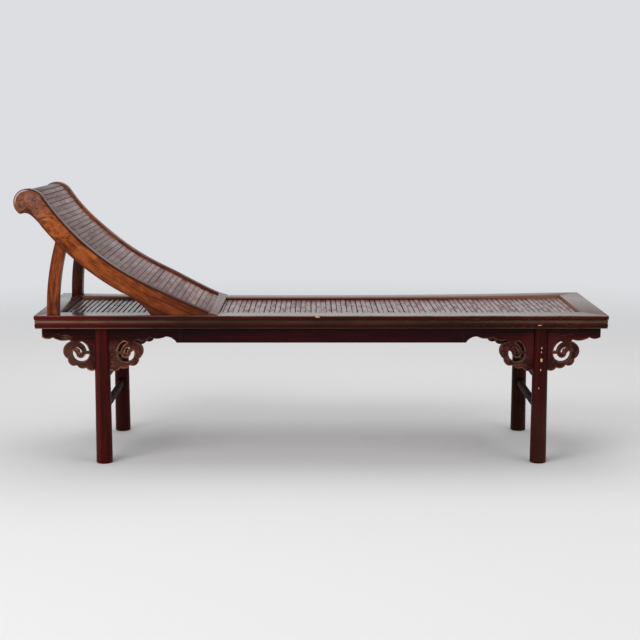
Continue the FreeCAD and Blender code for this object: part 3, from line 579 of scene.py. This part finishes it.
def makeSideRailWood():
    material, net = newMaterial("headrestRailWood")
    place = objectPlace(net)
    x, y, z = net.split(place)
    along, depth, pastCrest = slopeLie(x, z)
    beforeCrest = 1 - pastCrest
    fray = (noise(place, 90, 3, 0.6) - 0.5) * 0.9
    knot = markMask(x, z, fray * 1.6, headrestWood["knots"])
    tone, figure, height = figuredGrain(net, along, depth + along * 0.05, y, knot)

    # curled grain at the head, a glow down the neck and a darker foot
    burl = markMask(x, z, fray, headrestWood["burl"]) * 0.55
    curls = noise(stretched(place, 1, 1, 1.5), 62, 5, 0.66, 0.9)
    tone = tone * (1 - burl) + (curls * 1.15 - 0.065) * burl
    glow = markMask(x, z, fray, headrestWood["glow"])
    foot = fall(along, *headrestWood["footReach"])
    tone = tone + (headrestWood["footTone"] - tone) * foot * 0.45 + glow * 0.05
    colour = headrestColour(tone)
    colour = blend(knot * 0.6, colour, headrestWood["knot"])
    gleam = markMask(x, z, fray, headrestWood["gleam"])
    colour = blend(gleam * 0.55, colour, headrestWood["flame"])
    cracks = markMask(x, z, fray * 1.1, headrestWood["cracks"])
    colour = blend(cracks * 0.75, colour, headrestWood["crack"])

    # the round head: a grey painted sheen, with pale flecks
    right, over = x - headrestWood["headX"], z - headrestWood["headZ"]
    reach = distance(right, over)
    headSheen = fall(reach, *headrestWood["headSheenReach"])
    colour = blend(headSheen * 0.30, colour, headrestWood["headSheen"])
    flecks = rise(noise(place, 85, 4, 0.7, 0.8), 0.44, 0.62)
    flecks = flecks * markMask(x, z, fray * 0.5, headrestWood["flecks"])
    colour = blend(flecks * 0.7, colour, headrestWood["fleck"])

    # dark lines along both edges, partly edge wear and partly painted shade on the rounded edges,
    # and a painted highlight over the head
    upper = fall(depth, 0.0030 + beforeCrest * 0.0016, 0.0050 + beforeCrest * 0.003)
    upper = upper * (1 - rise(y, 0.20, 0.24) * 0.75)
    lower = rise(depth, slope["railDepth"] - 0.009, slope["railDepth"] - 0.001)
    lines = net.math("MAXIMUM", upper, lower * beforeCrest * 0.8)
    colour = blend(lines * 0.9, colour, headrestWood["darkest"])
    headHighlight = band(reach, headrestWood["headRadius"] - 0.0052, 0.0012, 0.0016)
    headHighlight = headHighlight * rise(over - right, 0.030, 0.050) * fall(right, 0.0, 0.012)
    colour = blend(headHighlight * 0.8, colour, headrestWood["headHighlight"])
    colour = scuffedAndShaded(colour, net.join(along * 40, depth * 160, y * 20), y, 0.25)

    # the narrow top face, with a pale line beside the slats as a painted sheen
    farEdge = rise(y, 0.2795, 0.2815) * fall(depth, 0.003, 0.006)
    colour = blend(farEdge * 0.8, colour, headrestWood["darkest"])
    up = facingUp(net)
    topFace = fall(depth, 0.0006, 0.0014) * up
    colour = blend(topFace * 0.6, colour, headrestWood["darkest"])
    inner = topFace * fall(abs(y), 0.2775, 0.2805)
    inner = inner * (0.2 + rise(z, 0.54, 0.72) * 0.8)
    colour = blend(inner * 0.5, colour, headrestWood["innerSheenLine"])
    finishedHeadrest(colour, figure, height - cracks * 2, up, topFace, inner)
    return material


# Aged bamboo, greyed by use and darker down the sides of each strip

bamboo = {
    "dark": rgb(0.066, 0.027, 0.024),
    "body": rgb(0.165, 0.095, 0.086),
    "pale": rgb(0.330, 0.250, 0.236),
    "gap": rgb(0.018, 0.008, 0.007),
    "mauve": rgb(0.180, 0.090, 0.102),
    "grey": rgb(0.150, 0.118, 0.112),
    "russet": rgb(0.200, 0.072, 0.062),
    "smudge": rgb(0.070, 0.031, 0.029),
    "rubbed": rgb(0.270, 0.175, 0.165),
    "knotPitch": 0.29, "relief": 0.0003,
    "farSide": (-0.02, 0.20), "nearSide": (-0.24, -0.08), "lowSlope": (0.56, 0.84),
    "openSeat": (-0.36, -0.26), "headrestFoot": (-0.44, -0.36), "seatTop": (0.505, 0.520),
    "seat": {
        "roughness": 0.11, "gloss": 0.315, "edgeFrom": 0.90, "shading": 0.0, "warmth": 0.30,
    },
    "headrest": {
        "roughness": 0.32, "gloss": 0.18, "edgeFrom": 0.74, "shading": 1.0, "warmth": 0.0,
    },
}


# A strip's tone, which is random, also shifts its fibres and its knots and picks its tint
def makeBamboo(name, look):
    material, net = newMaterial(name)
    x, y, z = net.split(objectPlace(net))
    tone, side = stored(net, "stripTone"), stored(net, "stripSide")
    lie = net.join(x, y + tone * 7.3, z)
    fibre = noise(stretched(lie, 700, 8, 700), 1, 3, 0.6)
    cloud = noise(stretched(lie, 26, 7, 26), 1, 3, 0.55)
    # painted light: each headrest strip is painted lighter towards its far end as a painted
    # reflection, and darker towards its near end and low down the slope
    far = rise(y, *bamboo["farSide"]) * look["shading"]
    near = fall(y, *bamboo["nearSide"]) * look["shading"]
    low = fall(z, *bamboo["lowSlope"]) * look["shading"]
    shading = far * 0.20 - near * 0.12 - low * 0.045 - look["warmth"] * 0.10
    colour = ramp(
        fibre * 0.28 + cloud * 0.42 + tone * 0.30 + shading,
        (0.28, bamboo["dark"]), (0.50, bamboo["body"]), (0.74, bamboo["pale"]),
    )
    tint = net.math("FRACT", tone * 17.3)
    colour = blend(rise(tint, 0.45, 0.95) * 0.40, colour, bamboo["mauve"])
    colour = blend(fall(tint, 0.05, 0.55) * 0.35, colour, bamboo["grey"])
    colour = blend(look["warmth"], colour, bamboo["russet"])

    # smudges, strongest on the open seat
    smudge = noise(stretched(lie, 60, 13, 60), 1, 3, 0.60)
    mottled = 0.30 + rise(x, *bamboo["openSeat"]) * 0.50
    dark = rise(smudge, 0.48, 0.64) * mottled
    colour = blend(dark * 0.60, colour, bamboo["smudge"])
    light = fall(smudge, 0.36, 0.48) * mottled
    colour = blend(light * 0.45, colour, bamboo["rubbed"])

    # knots, and the dark joints between strips
    ring = net.math("FRACT", (y + tone * 3.7) / bamboo["knotPitch"])
    knot = band(ring, 0.5, 0.006, 0.016)
    colour = blend(knot * 0.7, colour, bamboo["gap"])
    underHeadrest = fall(x, *bamboo["headrestFoot"]) * fall(z, *bamboo["seatTop"])
    sideways = abs(side) + underHeadrest * 0.15
    edge = rise(sideways, look["edgeFrom"], look["edgeFrom"] + 0.14)
    colour = blend(edge * 0.75, colour, bamboo["gap"])
    roughness = look["roughness"] + fibre * 0.12 + tone * 0.10 + near * 0.12 + dark * 0.26
    roughness = roughness + edge * 0.3 + underHeadrest * (edge * 0.30 - 0.05)
    finished(colour, roughness, fibre + knot * 0.8, bamboo["relief"], look["gloss"])
    return material


# The greyed boards at the foot and the crest of the headrest

greyBoard = {"roughness": 0.30, "gloss": 0.33, "edgeStart": 0.0052, "edgeWhole": 0.0030}


def makeGreyBoard():
    material, net = newMaterial("greyBoard")
    place = objectPlace(net)
    x, y, z = net.split(place)
    fine, broad = grain(place, 1, 0.05, 1)
    clouds = noise(stretched(place, 1, 0.35, 1), 110, 4, 0.66)
    colour = ramp(
        fine * 0.25 + broad * 0.30 + clouds * 0.45,
        (0.38, bamboo["dark"]), (0.54, bamboo["body"]), (0.70, bamboo["pale"]),
    )
    along = slopeLie(x, z)[0]
    # painted shadow along the upper edge, in the gap by the first strip, and painted shade on the
    # board's end faces
    fromEdge = slope["footBoard"] - along
    upperEdgeShadow = fall(fromEdge, greyBoard["edgeWhole"], greyBoard["edgeStart"])
    colour = blend(upperEdgeShadow * 0.9, colour, bamboo["gap"])
    cut = rise(abs(faceNormal(net)[1]), 0.4, 0.8)
    colour = blend(cut, colour, headrestWood["dark"])
    roughness = greyBoard["roughness"] + fine * 0.1
    height = fine * 0.6 + broad * 0.4
    finished(colour, roughness, height, bamboo["relief"], greyBoard["gloss"])
    return material


# Plain wood of the bearers and battens that hold the slats

hiddenWood = {
    "dark": rgb(0.04, 0.018, 0.012),
    "pale": rgb(0.12, 0.055, 0.032),
    "roughness": 0.75, "gloss": 0.2, "relief": 0.0005,
}


def makeHiddenWood():
    material, net = newMaterial("hiddenWood")
    fine, broad = grain(objectPlace(net), 1, 1, 1)
    tone = broad * 0.7 + fine * 0.3
    colour = ramp(tone, (0.3, hiddenWood["dark"]), (0.7, hiddenWood["pale"]))
    finished(colour, hiddenWood["roughness"], fine, hiddenWood["relief"], hiddenWood["gloss"])
    return material


materials = {
    "railAlongX": makeRailWood("railWoodLong", 0.05, 1, 1),
    "railAlongY": makeRailWood("railWoodEnd", 1, 0.05, 1),
    "leg": makeLegWood("legWood", legWood["leg"]),
    "stretcher": makeLegWood("stretcherWood", legWood["stretcher"]),
    "board": makeBoardWood(),
    "headrest": makeSideRailWood(),
    "post": makePostWood(),
    "seatBamboo": makeBamboo("seatBamboo", bamboo["seat"]),
    "headrestBamboo": makeBamboo("headrestBamboo", bamboo["headrest"]),
    "greyBoard": makeGreyBoard(),
    "hidden": makeHiddenWood(),
}
print("materials made")


# How the old piece has settled: the back rail sags and the back of the crest sits lower.
# Each pair of heights is where a share starts and where it is whole, or gone.

settling = {
    "front": -0.29, "depth": 0.58,
    "sag": 0.0103, "sagMiddle": -0.05, "sagReach": 0.98,
    "sagWhole": (0.415, 0.462), "sagGone": (0.512, 0.600),
    "crestDrop": 0.010, "crestWhole": (0.72, 0.87),
}


def eased(value, low, high):
    share = min(1, max(0, (value - low) / (high - low)))
    return share * share * (3 - 2 * share)


def settled(mesh):
    for vertex in mesh.vertices:
        x, y, z = vertex.co
        back = min(1, max(0, (y - settling["front"]) / settling["depth"]))
        reach = (x - settling["sagMiddle"]) / settling["sagReach"]
        sag = settling["sag"] * max(0, 1 - reach * reach)
        sag *= eased(z, *settling["sagWhole"]) * (1 - eased(z, *settling["sagGone"]))
        drop = settling["crestDrop"] * eased(z, *settling["crestWhole"])
        vertex.co.z = z - back * (sag + drop)
    return mesh


def inScene(name, data):
    holder = bpy.data.objects.new(name, data)
    bpy.context.scene.collection.objects.link(holder)
    return holder


def finalMesh(holder):
    graph = bpy.context.evaluated_depsgraph_get()
    return bpy.data.meshes.new_from_object(holder.evaluated_get(graph))


def applied(piece):
    mesh = finalMesh(piece)
    piece.modifiers.clear()
    piece.data = mesh
    return mesh


def smoothed(mesh, sharpFrom=35):
    mesh.polygons.foreach_set("use_smooth", [True] * len(mesh.polygons))
    mesh.set_sharp_from_angle(angle=math.radians(sharpFrom))
    return mesh


def newPiece(name, mesh, material):
    piece = inScene(name, mesh)
    mesh.materials.clear()
    mesh.materials.append(material)
    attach(piece, "root")
    return piece


# Wooden pieces, made from the solids with softened edges. A board's outer face gets a raised
# rim, which stops where the board meets a leg, the frame or the next board.

carving = {
    "rim": 0.0034, "step": 0.0015, "depth": 0.0024, "facing": 0.99, "slack": 0.0004,
    "hair": 0.00005,
}
woodMesh = {
    "weld": 0.00002, "flatAngle": 0.3, "longPiece": 0.5, "lengths": 16,
    "bevelSteps": 2, "bevelAngle": 38,
}


def carved(solid, node, outward):
    rimLayer = solid.faces.layers.float.new("rim")
    facing = [face for face in solid.faces if face.normal.y * outward > carving["facing"]]
    outermost = max(face.calc_center_median().y * outward for face in facing)
    field = [
        face for face in facing
        if face.calc_center_median().y * outward > outermost - carving["slack"]
    ]
    rim = bmesh.ops.inset_region(
        solid, faces=field, thickness=carving["rim"], use_even_offset=False, use_boundary=True
    )["faces"]
    steps = bmesh.ops.inset_region(
        solid, faces=field, thickness=carving["step"], depth=-carving["depth"],
        use_even_offset=False, use_boundary=True,
    )["faces"]
    for face in rim:
        face[rimLayer] = 1
    for face in steps:
        face[rimLayer] = 0.5
    low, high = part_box(node)
    plainEnds = [low[0], high[0]]
    if "outer" in node:
        plainEnds = [high[0] if low[0] < 0 else low[0]]
    near = carving["rim"] + carving["step"] + carving["slack"]
    for vertex in {vertex for face in steps for vertex in face.verts}:
        for end in plainEnds:
            if abs(vertex.co.x - end) < near:
                vertex.co.x = end + math.copysign(carving["hair"], vertex.co.x - end)
        if high[2] - vertex.co.z < near:
            vertex.co.z = high[2] - carving["hair"]


def softened(node, material, edge, outward):
    mesh = bpy.data.meshes.new(node + "_wood")
    solid = bmesh.new()
    solid.from_mesh(cadNodes[node].data)
    bmesh.ops.remove_doubles(solid, verts=solid.verts, dist=woodMesh["weld"])
    bmesh.ops.dissolve_limit(
        solid, angle_limit=math.radians(woodMesh["flatAngle"]), verts=solid.verts,
        edges=solid.edges,
    )
    if outward:
        carved(solid, node, outward)
    low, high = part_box(node)
    if high[0] - low[0] > woodMesh["longPiece"]:
        for step in range(1, woodMesh["lengths"]):
            everything = solid.verts[:] + solid.edges[:] + solid.faces[:]
            cut = low[0] + (high[0] - low[0]) * step / woodMesh["lengths"]
            bmesh.ops.bisect_plane(
                solid, geom=everything, plane_co=(cut, 0, 0), plane_no=(1, 0, 0)
            )
    solid.to_mesh(mesh)
    solid.free()
    piece = newPiece(node + "_wood", mesh, material)
    if edge:
        bevel = piece.modifiers.new("edges", "BEVEL")
        bevel.width = edge
        bevel.segments = woodMesh["bevelSteps"]
        bevel.limit_method = "ANGLE"
        bevel.angle_limit = math.radians(woodMesh["bevelAngle"])
        bevel.use_clamp_overlap = True
        mesh = applied(piece)
    smoothed(settled(mesh))
    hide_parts(node)


# A pair of nodes, their material, the width of their softened edges, and 1 where the pair is
# carved, the first on its front and the second on its back
woodPairs = [
    ("front_rail", "back_rail", "railAlongX", 0.0006, 0),
    ("head_end_rail", "foot_end_rail", "railAlongY", 0.0006, 0),
    ("front_apron", "back_apron", "board", 0.0012, 1),
    ("head_end_apron", "foot_end_apron", "stretcher", 0.0015, 0),
    ("headrest_front_side_rail", "headrest_back_side_rail", "headrest", 0.003, 0),
    ("headrest_front_post", "headrest_back_post", "post", 0.003, 0),
    ("headrest_foot_board", "headrest_top_rail", "greyBoard", 0.001, 0),
]
woodPieces = []
for first, second, finish, edge, isCarved in woodPairs:
    woodPieces += [(first, finish, edge, -isCarved), (second, finish, edge, isCarved)]
for end in ("head", "foot"):
    for side, outward in (("front", -1), ("back", 1)):
        woodPieces.append((f"{end}_{side}_leg", "leg", 0, 0))
        woodPieces.append((f"{end}_{side}_outer_scroll", "board", 0.0010, outward))
        woodPieces.append((f"{end}_{side}_inner_scroll", "board", 0.0010, outward))
    woodPieces.append((f"{end}_lower_stretcher", "stretcher", 0, 0))
    woodPieces.append((f"{end}_upper_stretcher", "stretcher", 0, 0))
for node in cadNodes:
    if slotOfNode[node] == "hidden_wood" or node.endswith("batten"):
        woodPieces.append((node, "hidden", 0, 0))
for node, finish, edge, outward in woodPieces:
    softened(node, materials[finish], edge, outward)
print("wood pieces softened")


# Leaf veins carved on the ends of the long boards, given for the head end's front board

leafVeins = {
    "face": 0.2502, "thickness": 0.0017, "tip": 0.35, "belly": 1.1, "rubbed": 0.8,
    "veins": [
        [(-0.8465, 0.4330), (-0.8300, 0.4372), (-0.8120, 0.4365)],
        [(-0.8430, 0.4275), (-0.8230, 0.4316), (-0.8020, 0.4300)],
        [(-0.8350, 0.4228), (-0.8170, 0.4256), (-0.7960, 0.4225)],
        [(-0.8700, 0.4375), (-0.8580, 0.4408), (-0.8440, 0.4398)],
        [(-0.8130, 0.4180), (-0.8030, 0.4178), (-0.7960, 0.4130), (-0.7975, 0.4085)],
    ],
}


def carvedLeaf(name, mirror, outward):
    curve = bpy.data.curves.new(name, "CURVE")
    curve.dimensions = "3D"
    curve.bevel_depth = leafVeins["thickness"]
    curve.bevel_resolution = 2
    curve.use_fill_caps = True
    for vein in leafVeins["veins"]:
        line = curve.splines.new("NURBS")
        line.points.add(len(vein) - 1)
        for index, (point, (x, z)) in enumerate(zip(line.points, vein)):
            point.co = (x * mirror, leafVeins["face"] * outward, z, 1)
            point.radius = leafVeins["tip" if index in (0, len(vein) - 1) else "belly"]
        line.order_u = 3
        line.use_endpoint_u = True
    holder = inScene(name + "_line", curve)
    mesh = finalMesh(holder)
    bpy.data.objects.remove(holder)
    # the veins take the boards' pale rim colour, partly wear and partly a painted highlight
    rim = mesh.attributes.new("rim", "FLOAT", "POINT")
    rim.data.foreach_set("value", [leafVeins["rubbed"]] * len(mesh.vertices))
    piece = newPiece(name, smoothed(settled(mesh)), materials["board"])


for end, mirror in (("head", 1), ("foot", -1)):
    for side, outward in (("front", -1), ("back", 1)):
        carvedLeaf(f"{end}_{side}_leaf", mirror, outward)
print("leaves carved")


# Bamboo strips laid along a path. The sizes are the inputs of the tree below.

seatStrips = {
    "Count": 98, "Width": 0.0178, "Length": 0.4192, "Thickness": 0.0070, "Crown": 0.0013,
    "Taper": 0.0010, "Wander": 0.0009, "Shift": 0.0007, "Seed": 4,
}
headrestStrips = {
    "Count": 40, "Width": 0.0187, "Length": 0.4972, "Thickness": 0.0050, "Crown": 0.0015,
    "Taper": 0.0015, "Wander": 0.0007, "Shift": 0.0009, "Seed": 11,
}
stripVariety = {"tilt": 0.008, "skew": 0.0009, "width": (0.945, 1.005), "thickness": (0.90, 1.0)}
seatBed = {"middle": 0.028, "length": 1.740, "level": 0.4925}


# The floor of the rabbet as a run of points, from the foot board to the top rail
def slopePoints(step=0.004, closest=0.0005):
    depth = slope["rabbetDepth"]
    arcs = (
        (slope["lowerRadius"], slope["footAngle"], slope["bendAngle"]),
        (slope["upperRadius"], slope["bendAngle"], slope["crestAngle"]),
        (-slope["crestRadius"], slope["crestAngle"], slope["topRailAngle"]),
    )
    x, z = slope["tipX"], slope["tipZ"]
    points = []
    for radius, start, stop in arcs:
        start, stop = math.radians(start), math.radians(stop)
        count = max(2, round(abs((radius + depth) * (stop - start)) / step))
        for index in range(count + 1):
            angle = start + (stop - start) * index / count
            upX = x + radius * (math.sin(start) - math.sin(angle))
            upZ = z + radius * (math.cos(start) - math.cos(angle))
            point = Vector((upX - depth * math.sin(angle), 0, upZ - depth * math.cos(angle)))
            if not points or (point - points[-1]).length > closest:
                points.append(point)
        x, z = upX, upZ
    return points


# How far each point lies along its run
def waysAlong(points):
    ways = [0]
    for first, second in zip(points, points[1:]):
        ways.append(ways[-1] + (second - first).length)
    return ways


# A part of a run of points, by distance along it
def shortened(points, fromStart, fromEnd):
    ways = waysAlong(points)

    def at(way):
        for index in range(1, len(points)):
            if way <= ways[index]:
                share = (way - ways[index - 1]) / (ways[index] - ways[index - 1])
                return points[index - 1].lerp(points[index], share)
        return points[-1]

    low, high = fromStart, ways[-1] - fromEnd
    inner = [point for point, way in zip(points, ways) if low < way < high]
    return [at(low)] + inner + [at(high)]


def randomFloat(low, high, seed):
    return seed.net.node(
        "FunctionNodeRandomValue", {"data_type": "FLOAT"}, {2: low, 3: high, 8: seed}, 1
    )


def buildStripTree():
    tree = bpy.data.node_groups.new("layStrips", "GeometryNodeTree")
    sockets = [("Path", "Geometry"), ("Count", "Int")]
    for name in ("Width", "Length", "Thickness", "Crown", "Taper", "Wander", "Shift"):
        sockets.append((name, "Float"))
    sockets += [("Seed", "Int"), ("Material", "Material")]
    for name, kind in sockets:
        tree.interface.new_socket(name, in_out="INPUT", socket_type="NodeSocket" + kind)
    tree.interface.new_socket("Strips", in_out="OUTPUT", socket_type="NodeSocketGeometry")
    net = Net(tree)
    entry = tree.nodes.new("NodeGroupInput")
    given = {socket.name: Wire(net, socket) for socket in entry.outputs}
    seed = given["Seed"]

    # evenly spaced places on the path, each moved a little along it
    curve = net.node("GeometryNodeMeshToCurve", None, {0: given["Path"]})
    points = net.node(
        "GeometryNodeResampleCurve", {"mode": "COUNT"}, {"Curve": curve, "Count": given["Count"]}
    )
    slide = net.node(
        "ShaderNodeVectorMath", {"operation": "SCALE"},
        {0: net.node("GeometryNodeInputTangent"),
         "Scale": randomFloat(-1, 1, seed + 5) * given["Shift"]},
    )
    points = net.node("GeometryNodeSetPosition", None, {"Geometry": points, "Offset": slide})

    # one strip, crowned and tapered on its upper side
    block = net.node(
        "GeometryNodeMeshCube", None,
        {"Size": net.join(given["Width"], given["Length"], given["Thickness"]),
         "Vertices X": 6, "Vertices Y": 7, "Vertices Z": 2},
    )
    x, y, z = net.split(net.node("GeometryNodeInputPosition"))
    side = x / given["Width"] * 2
    upper = z > 0
    lift = given["Thickness"] * 0.5 - given["Crown"] * side * side * upper
    strip = net.node(
        "GeometryNodeStoreNamedAttribute", {"data_type": "FLOAT", "domain": "POINT"},
        {"Geometry": block, "Name": "stripSide", "Value": side},
    )
    strip = net.node(
        "GeometryNodeSetPosition", None,
        {"Geometry": strip, "Offset": net.join(side * given["Taper"] * upper * -1, 0, lift)},
    )

    # strips laid across the path, with small turns and changes of size
    turn = net.node(
        "FunctionNodeAlignRotationToVector", {"axis": "X", "pivot_axis": "Y"},
        {"Vector": net.node("GeometryNodeInputTangent")},
    )
    tilt, skew = stripVariety["tilt"], stripVariety["skew"]
    loose = net.node(
        "FunctionNodeEulerToRotation", None,
        {0: net.join(0, randomFloat(-tilt, tilt, seed + 1),
                     randomFloat(-skew, skew, seed + 2))},
    )
    turn = net.node("FunctionNodeRotateRotation", {"rotation_space": "LOCAL"}, {0: turn, 1: loose})
    scale = net.join(
        randomFloat(*stripVariety["width"], seed + 3), 1,
        randomFloat(*stripVariety["thickness"], seed + 4),
    )
    laid = net.node(
        "GeometryNodeInstanceOnPoints", None,
        {"Points": points, "Instance": strip, "Rotation": turn, "Scale": scale},
    )
    laid = net.node(
        "GeometryNodeStoreNamedAttribute", {"data_type": "FLOAT", "domain": "INSTANCE"},
        {"Geometry": laid, "Name": "stripTone", "Value": randomFloat(0, 1, seed)},
    )
    whole = net.node("GeometryNodeRealizeInstances", None, {0: laid})

    # each strip wanders slightly from a straight line
    tone = net.node(
        "GeometryNodeInputNamedAttribute", {"data_type": "FLOAT"}, {"Name": "stripTone"}
    )
    y = net.split(net.node("GeometryNodeInputPosition"))[1]
    ripple = noise(net.join(y * 7, tone * 90, 0), 1, 2)
    whole = net.node(
        "GeometryNodeSetPosition", None,
        {"Geometry": whole, "Offset": net.join((ripple - 0.5) * given["Wander"], 0, 0)},
    )
    whole = net.node(
        "GeometryNodeSetMaterial", None, {"Geometry": whole, "Material": given["Material"]}
    )
    leave = tree.nodes.new("NodeGroupOutput")
    tree.links.new(whole.socket, leave.inputs["Strips"])
    return tree


def layStrips(name, tree, material, points, sizes, *stoodFor):
    path = bpy.data.meshes.new(name)
    path.from_pydata(points, [(index, index + 1) for index in range(len(points) - 1)], [])
    piece = inScene(name, path)
    modifier = piece.modifiers.new("strips", "NODES")
    modifier.node_group = tree
    for item in tree.interface.items_tree:
        if item.in_out == "INPUT" and item.name in sizes:
            modifier[item.identifier] = sizes[item.name]
        if item.name == "Material":
            modifier[item.identifier] = material
    smoothed(settled(applied(piece)))
    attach(piece, "root")
    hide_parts(*stoodFor)


stripTree = buildStripTree()
seatReach = (seatBed["length"] - seatBed["length"] / seatStrips["Count"]) / 2
layStrips(
    "seat_strips", stripTree, materials["seatBamboo"],
    [Vector((seatBed["middle"] + way, 0, seatBed["level"])) for way in (-seatReach, seatReach)],
    seatStrips, *[f"seat_slats_{number}" for number in range(1, 8)],
)
rabbet = slopePoints()
headrestPitch = (waysAlong(rabbet)[-1] - slope["footBoard"]) / headrestStrips["Count"]
layStrips(
    "headrest_strips", stripTree, materials["headrestBamboo"],
    shortened(rabbet, slope["footBoard"] + headrestPitch / 2, headrestPitch / 2),
    headrestStrips, *[f"headrest_slats_{number}" for number in range(1, 4)],
)
print("strips laid")


# A round floor that rises to a wall on all sides. Near the piece it takes light and shadow,
# and further out it shows one pale tone.

stageSizes = {
    "floor": rgb(0.72, 0.71, 0.70), "far": rgb(0.715, 0.728, 0.750),
    "fade": (2.2, 5.0),
    "rings": (1.5, 4.0, 9.0), "reach": 14.0, "top": 6.0, "bendSteps": 12, "turns": 64,
}


def makeBackdrop():
    material, net = newMaterial("paleBackdrop")
    matte = net.node(
        "ShaderNodeBsdfPrincipled", None, {"Base Color": stageSizes["floor"], "Roughness": 0.9}
    )
    plain = net.node("ShaderNodeEmission", None, {"Color": stageSizes["far"], "Strength": 1.0})
    seen = net.math("MAXIMUM", *[
        net.node("ShaderNodeLightPath", output=name) for name in ("Is Camera Ray", "Is Glossy Ray")
    ])
    away = net.node(
        "ShaderNodeVectorMath", {"operation": "LENGTH"}, {0: objectPlace(net)}, "Value"
    )
    share = rise(away, *stageSizes["fade"]) * seen
    mixed = net.node("ShaderNodeMixShader", None, {0: share, 1: matte, 2: plain})
    net.node("ShaderNodeOutputMaterial", None, {"Surface": mixed})

    profile = [(radius, 0.0) for radius in stageSizes["rings"]]
    flat, steps, turns = stageSizes["rings"][-1], stageSizes["bendSteps"], stageSizes["turns"]
    for step in range(1, steps + 1):
        angle = math.radians(90 * step / steps)
        profile.append((
            flat + (stageSizes["reach"] - flat) * math.sin(angle),
            stageSizes["top"] * (1 - math.cos(angle)),
        ))
    points, faces = [(0, 0, 0)], []
    for radius, height in profile:
        for turn in range(turns):
            angle = 2 * math.pi * turn / turns
            points.append((radius * math.cos(angle), radius * math.sin(angle), height))
    for turn in range(turns):
        following = (turn + 1) % turns
        faces.append((0, 1 + turn, 1 + following))
        for ring in range(len(profile) - 1):
            first, second = 1 + ring * turns, 1 + (ring + 1) * turns
            faces.append((first + turn, second + turn, second + following, first + following))
    mesh = bpy.data.meshes.new("backdrop")
    mesh.from_pydata(points, [], faces)
    mesh.materials.append(material)
    backdrop = inScene("backdrop", smoothed(mesh))


lamps = {
    "key": {"at": (-2.6, -3.4, 3.6), "aim": (0, 0, 0.5), "size": 3.0, "power": 120},
    "fill": {"at": (3.4, -3.0, 2.4), "aim": (0, 0, 0.4), "size": 3.0, "power": 45},
    "top": {"at": (0.0, 1.0, 4.2), "aim": (0, 0, 0.5), "size": 3.5, "power": 60},
}
studio = {"Color": rgb(0.95, 0.97, 1.0), "Strength": 0.62}


def makeLamps():
    for name, lamp in lamps.items():
        light = bpy.data.lights.new(name, "AREA")
        light.size = lamp["size"]
        light.energy = lamp["power"]
        holder = inScene(name, light)
        holder.location = lamp["at"]
        aim = Vector(lamp["aim"]) - Vector(lamp["at"])
        holder.rotation_euler = aim.to_track_quat("-Z", "Y").to_euler()
    world = bpy.data.worlds.new("studio")
    world.use_nodes = True
    world.node_tree.nodes.clear()
    net = Net(world.node_tree)
    sky = net.node("ShaderNodeBackground", None, studio)
    net.node("ShaderNodeOutputWorld", None, {"Surface": sky})
    bpy.context.scene.world = world


# The camera's angles are in radians: down from level, towards the foot end and about its axis
camera = {
    "at": (0.00123, -5.03406, 1.22628), "tilt": 0.15355, "yaw": 0.00459, "roll": 0.00048,
    "lens": 81.765, "sensor": 36.0, "shiftY": 0.00078,
}


def makeCamera():
    data = bpy.data.cameras.new("camera")
    data.lens = camera["lens"]
    data.sensor_width = camera["sensor"]
    data.shift_y = camera["shiftY"]
    holder = inScene("camera", data)
    tilt, yaw, roll = camera["tilt"], camera["yaw"], camera["roll"]
    ahead = Vector((
        math.sin(yaw) * math.cos(tilt), math.cos(yaw) * math.cos(tilt), -math.sin(tilt),
    ))
    level = Vector((math.cos(yaw), -math.sin(yaw), 0))
    above = level.cross(ahead)
    right = level * math.cos(roll) + above * math.sin(roll)
    above = above * math.cos(roll) - level * math.sin(roll)
    turned = Matrix((right, above, -ahead)).transposed().to_4x4()
    turned.translation = camera["at"]
    holder.matrix_world = turned
    bpy.context.scene.camera = holder


makeBackdrop()
makeLamps()
makeCamera()
bpy.context.scene.view_settings.view_transform = "Standard"
print("stage ready")
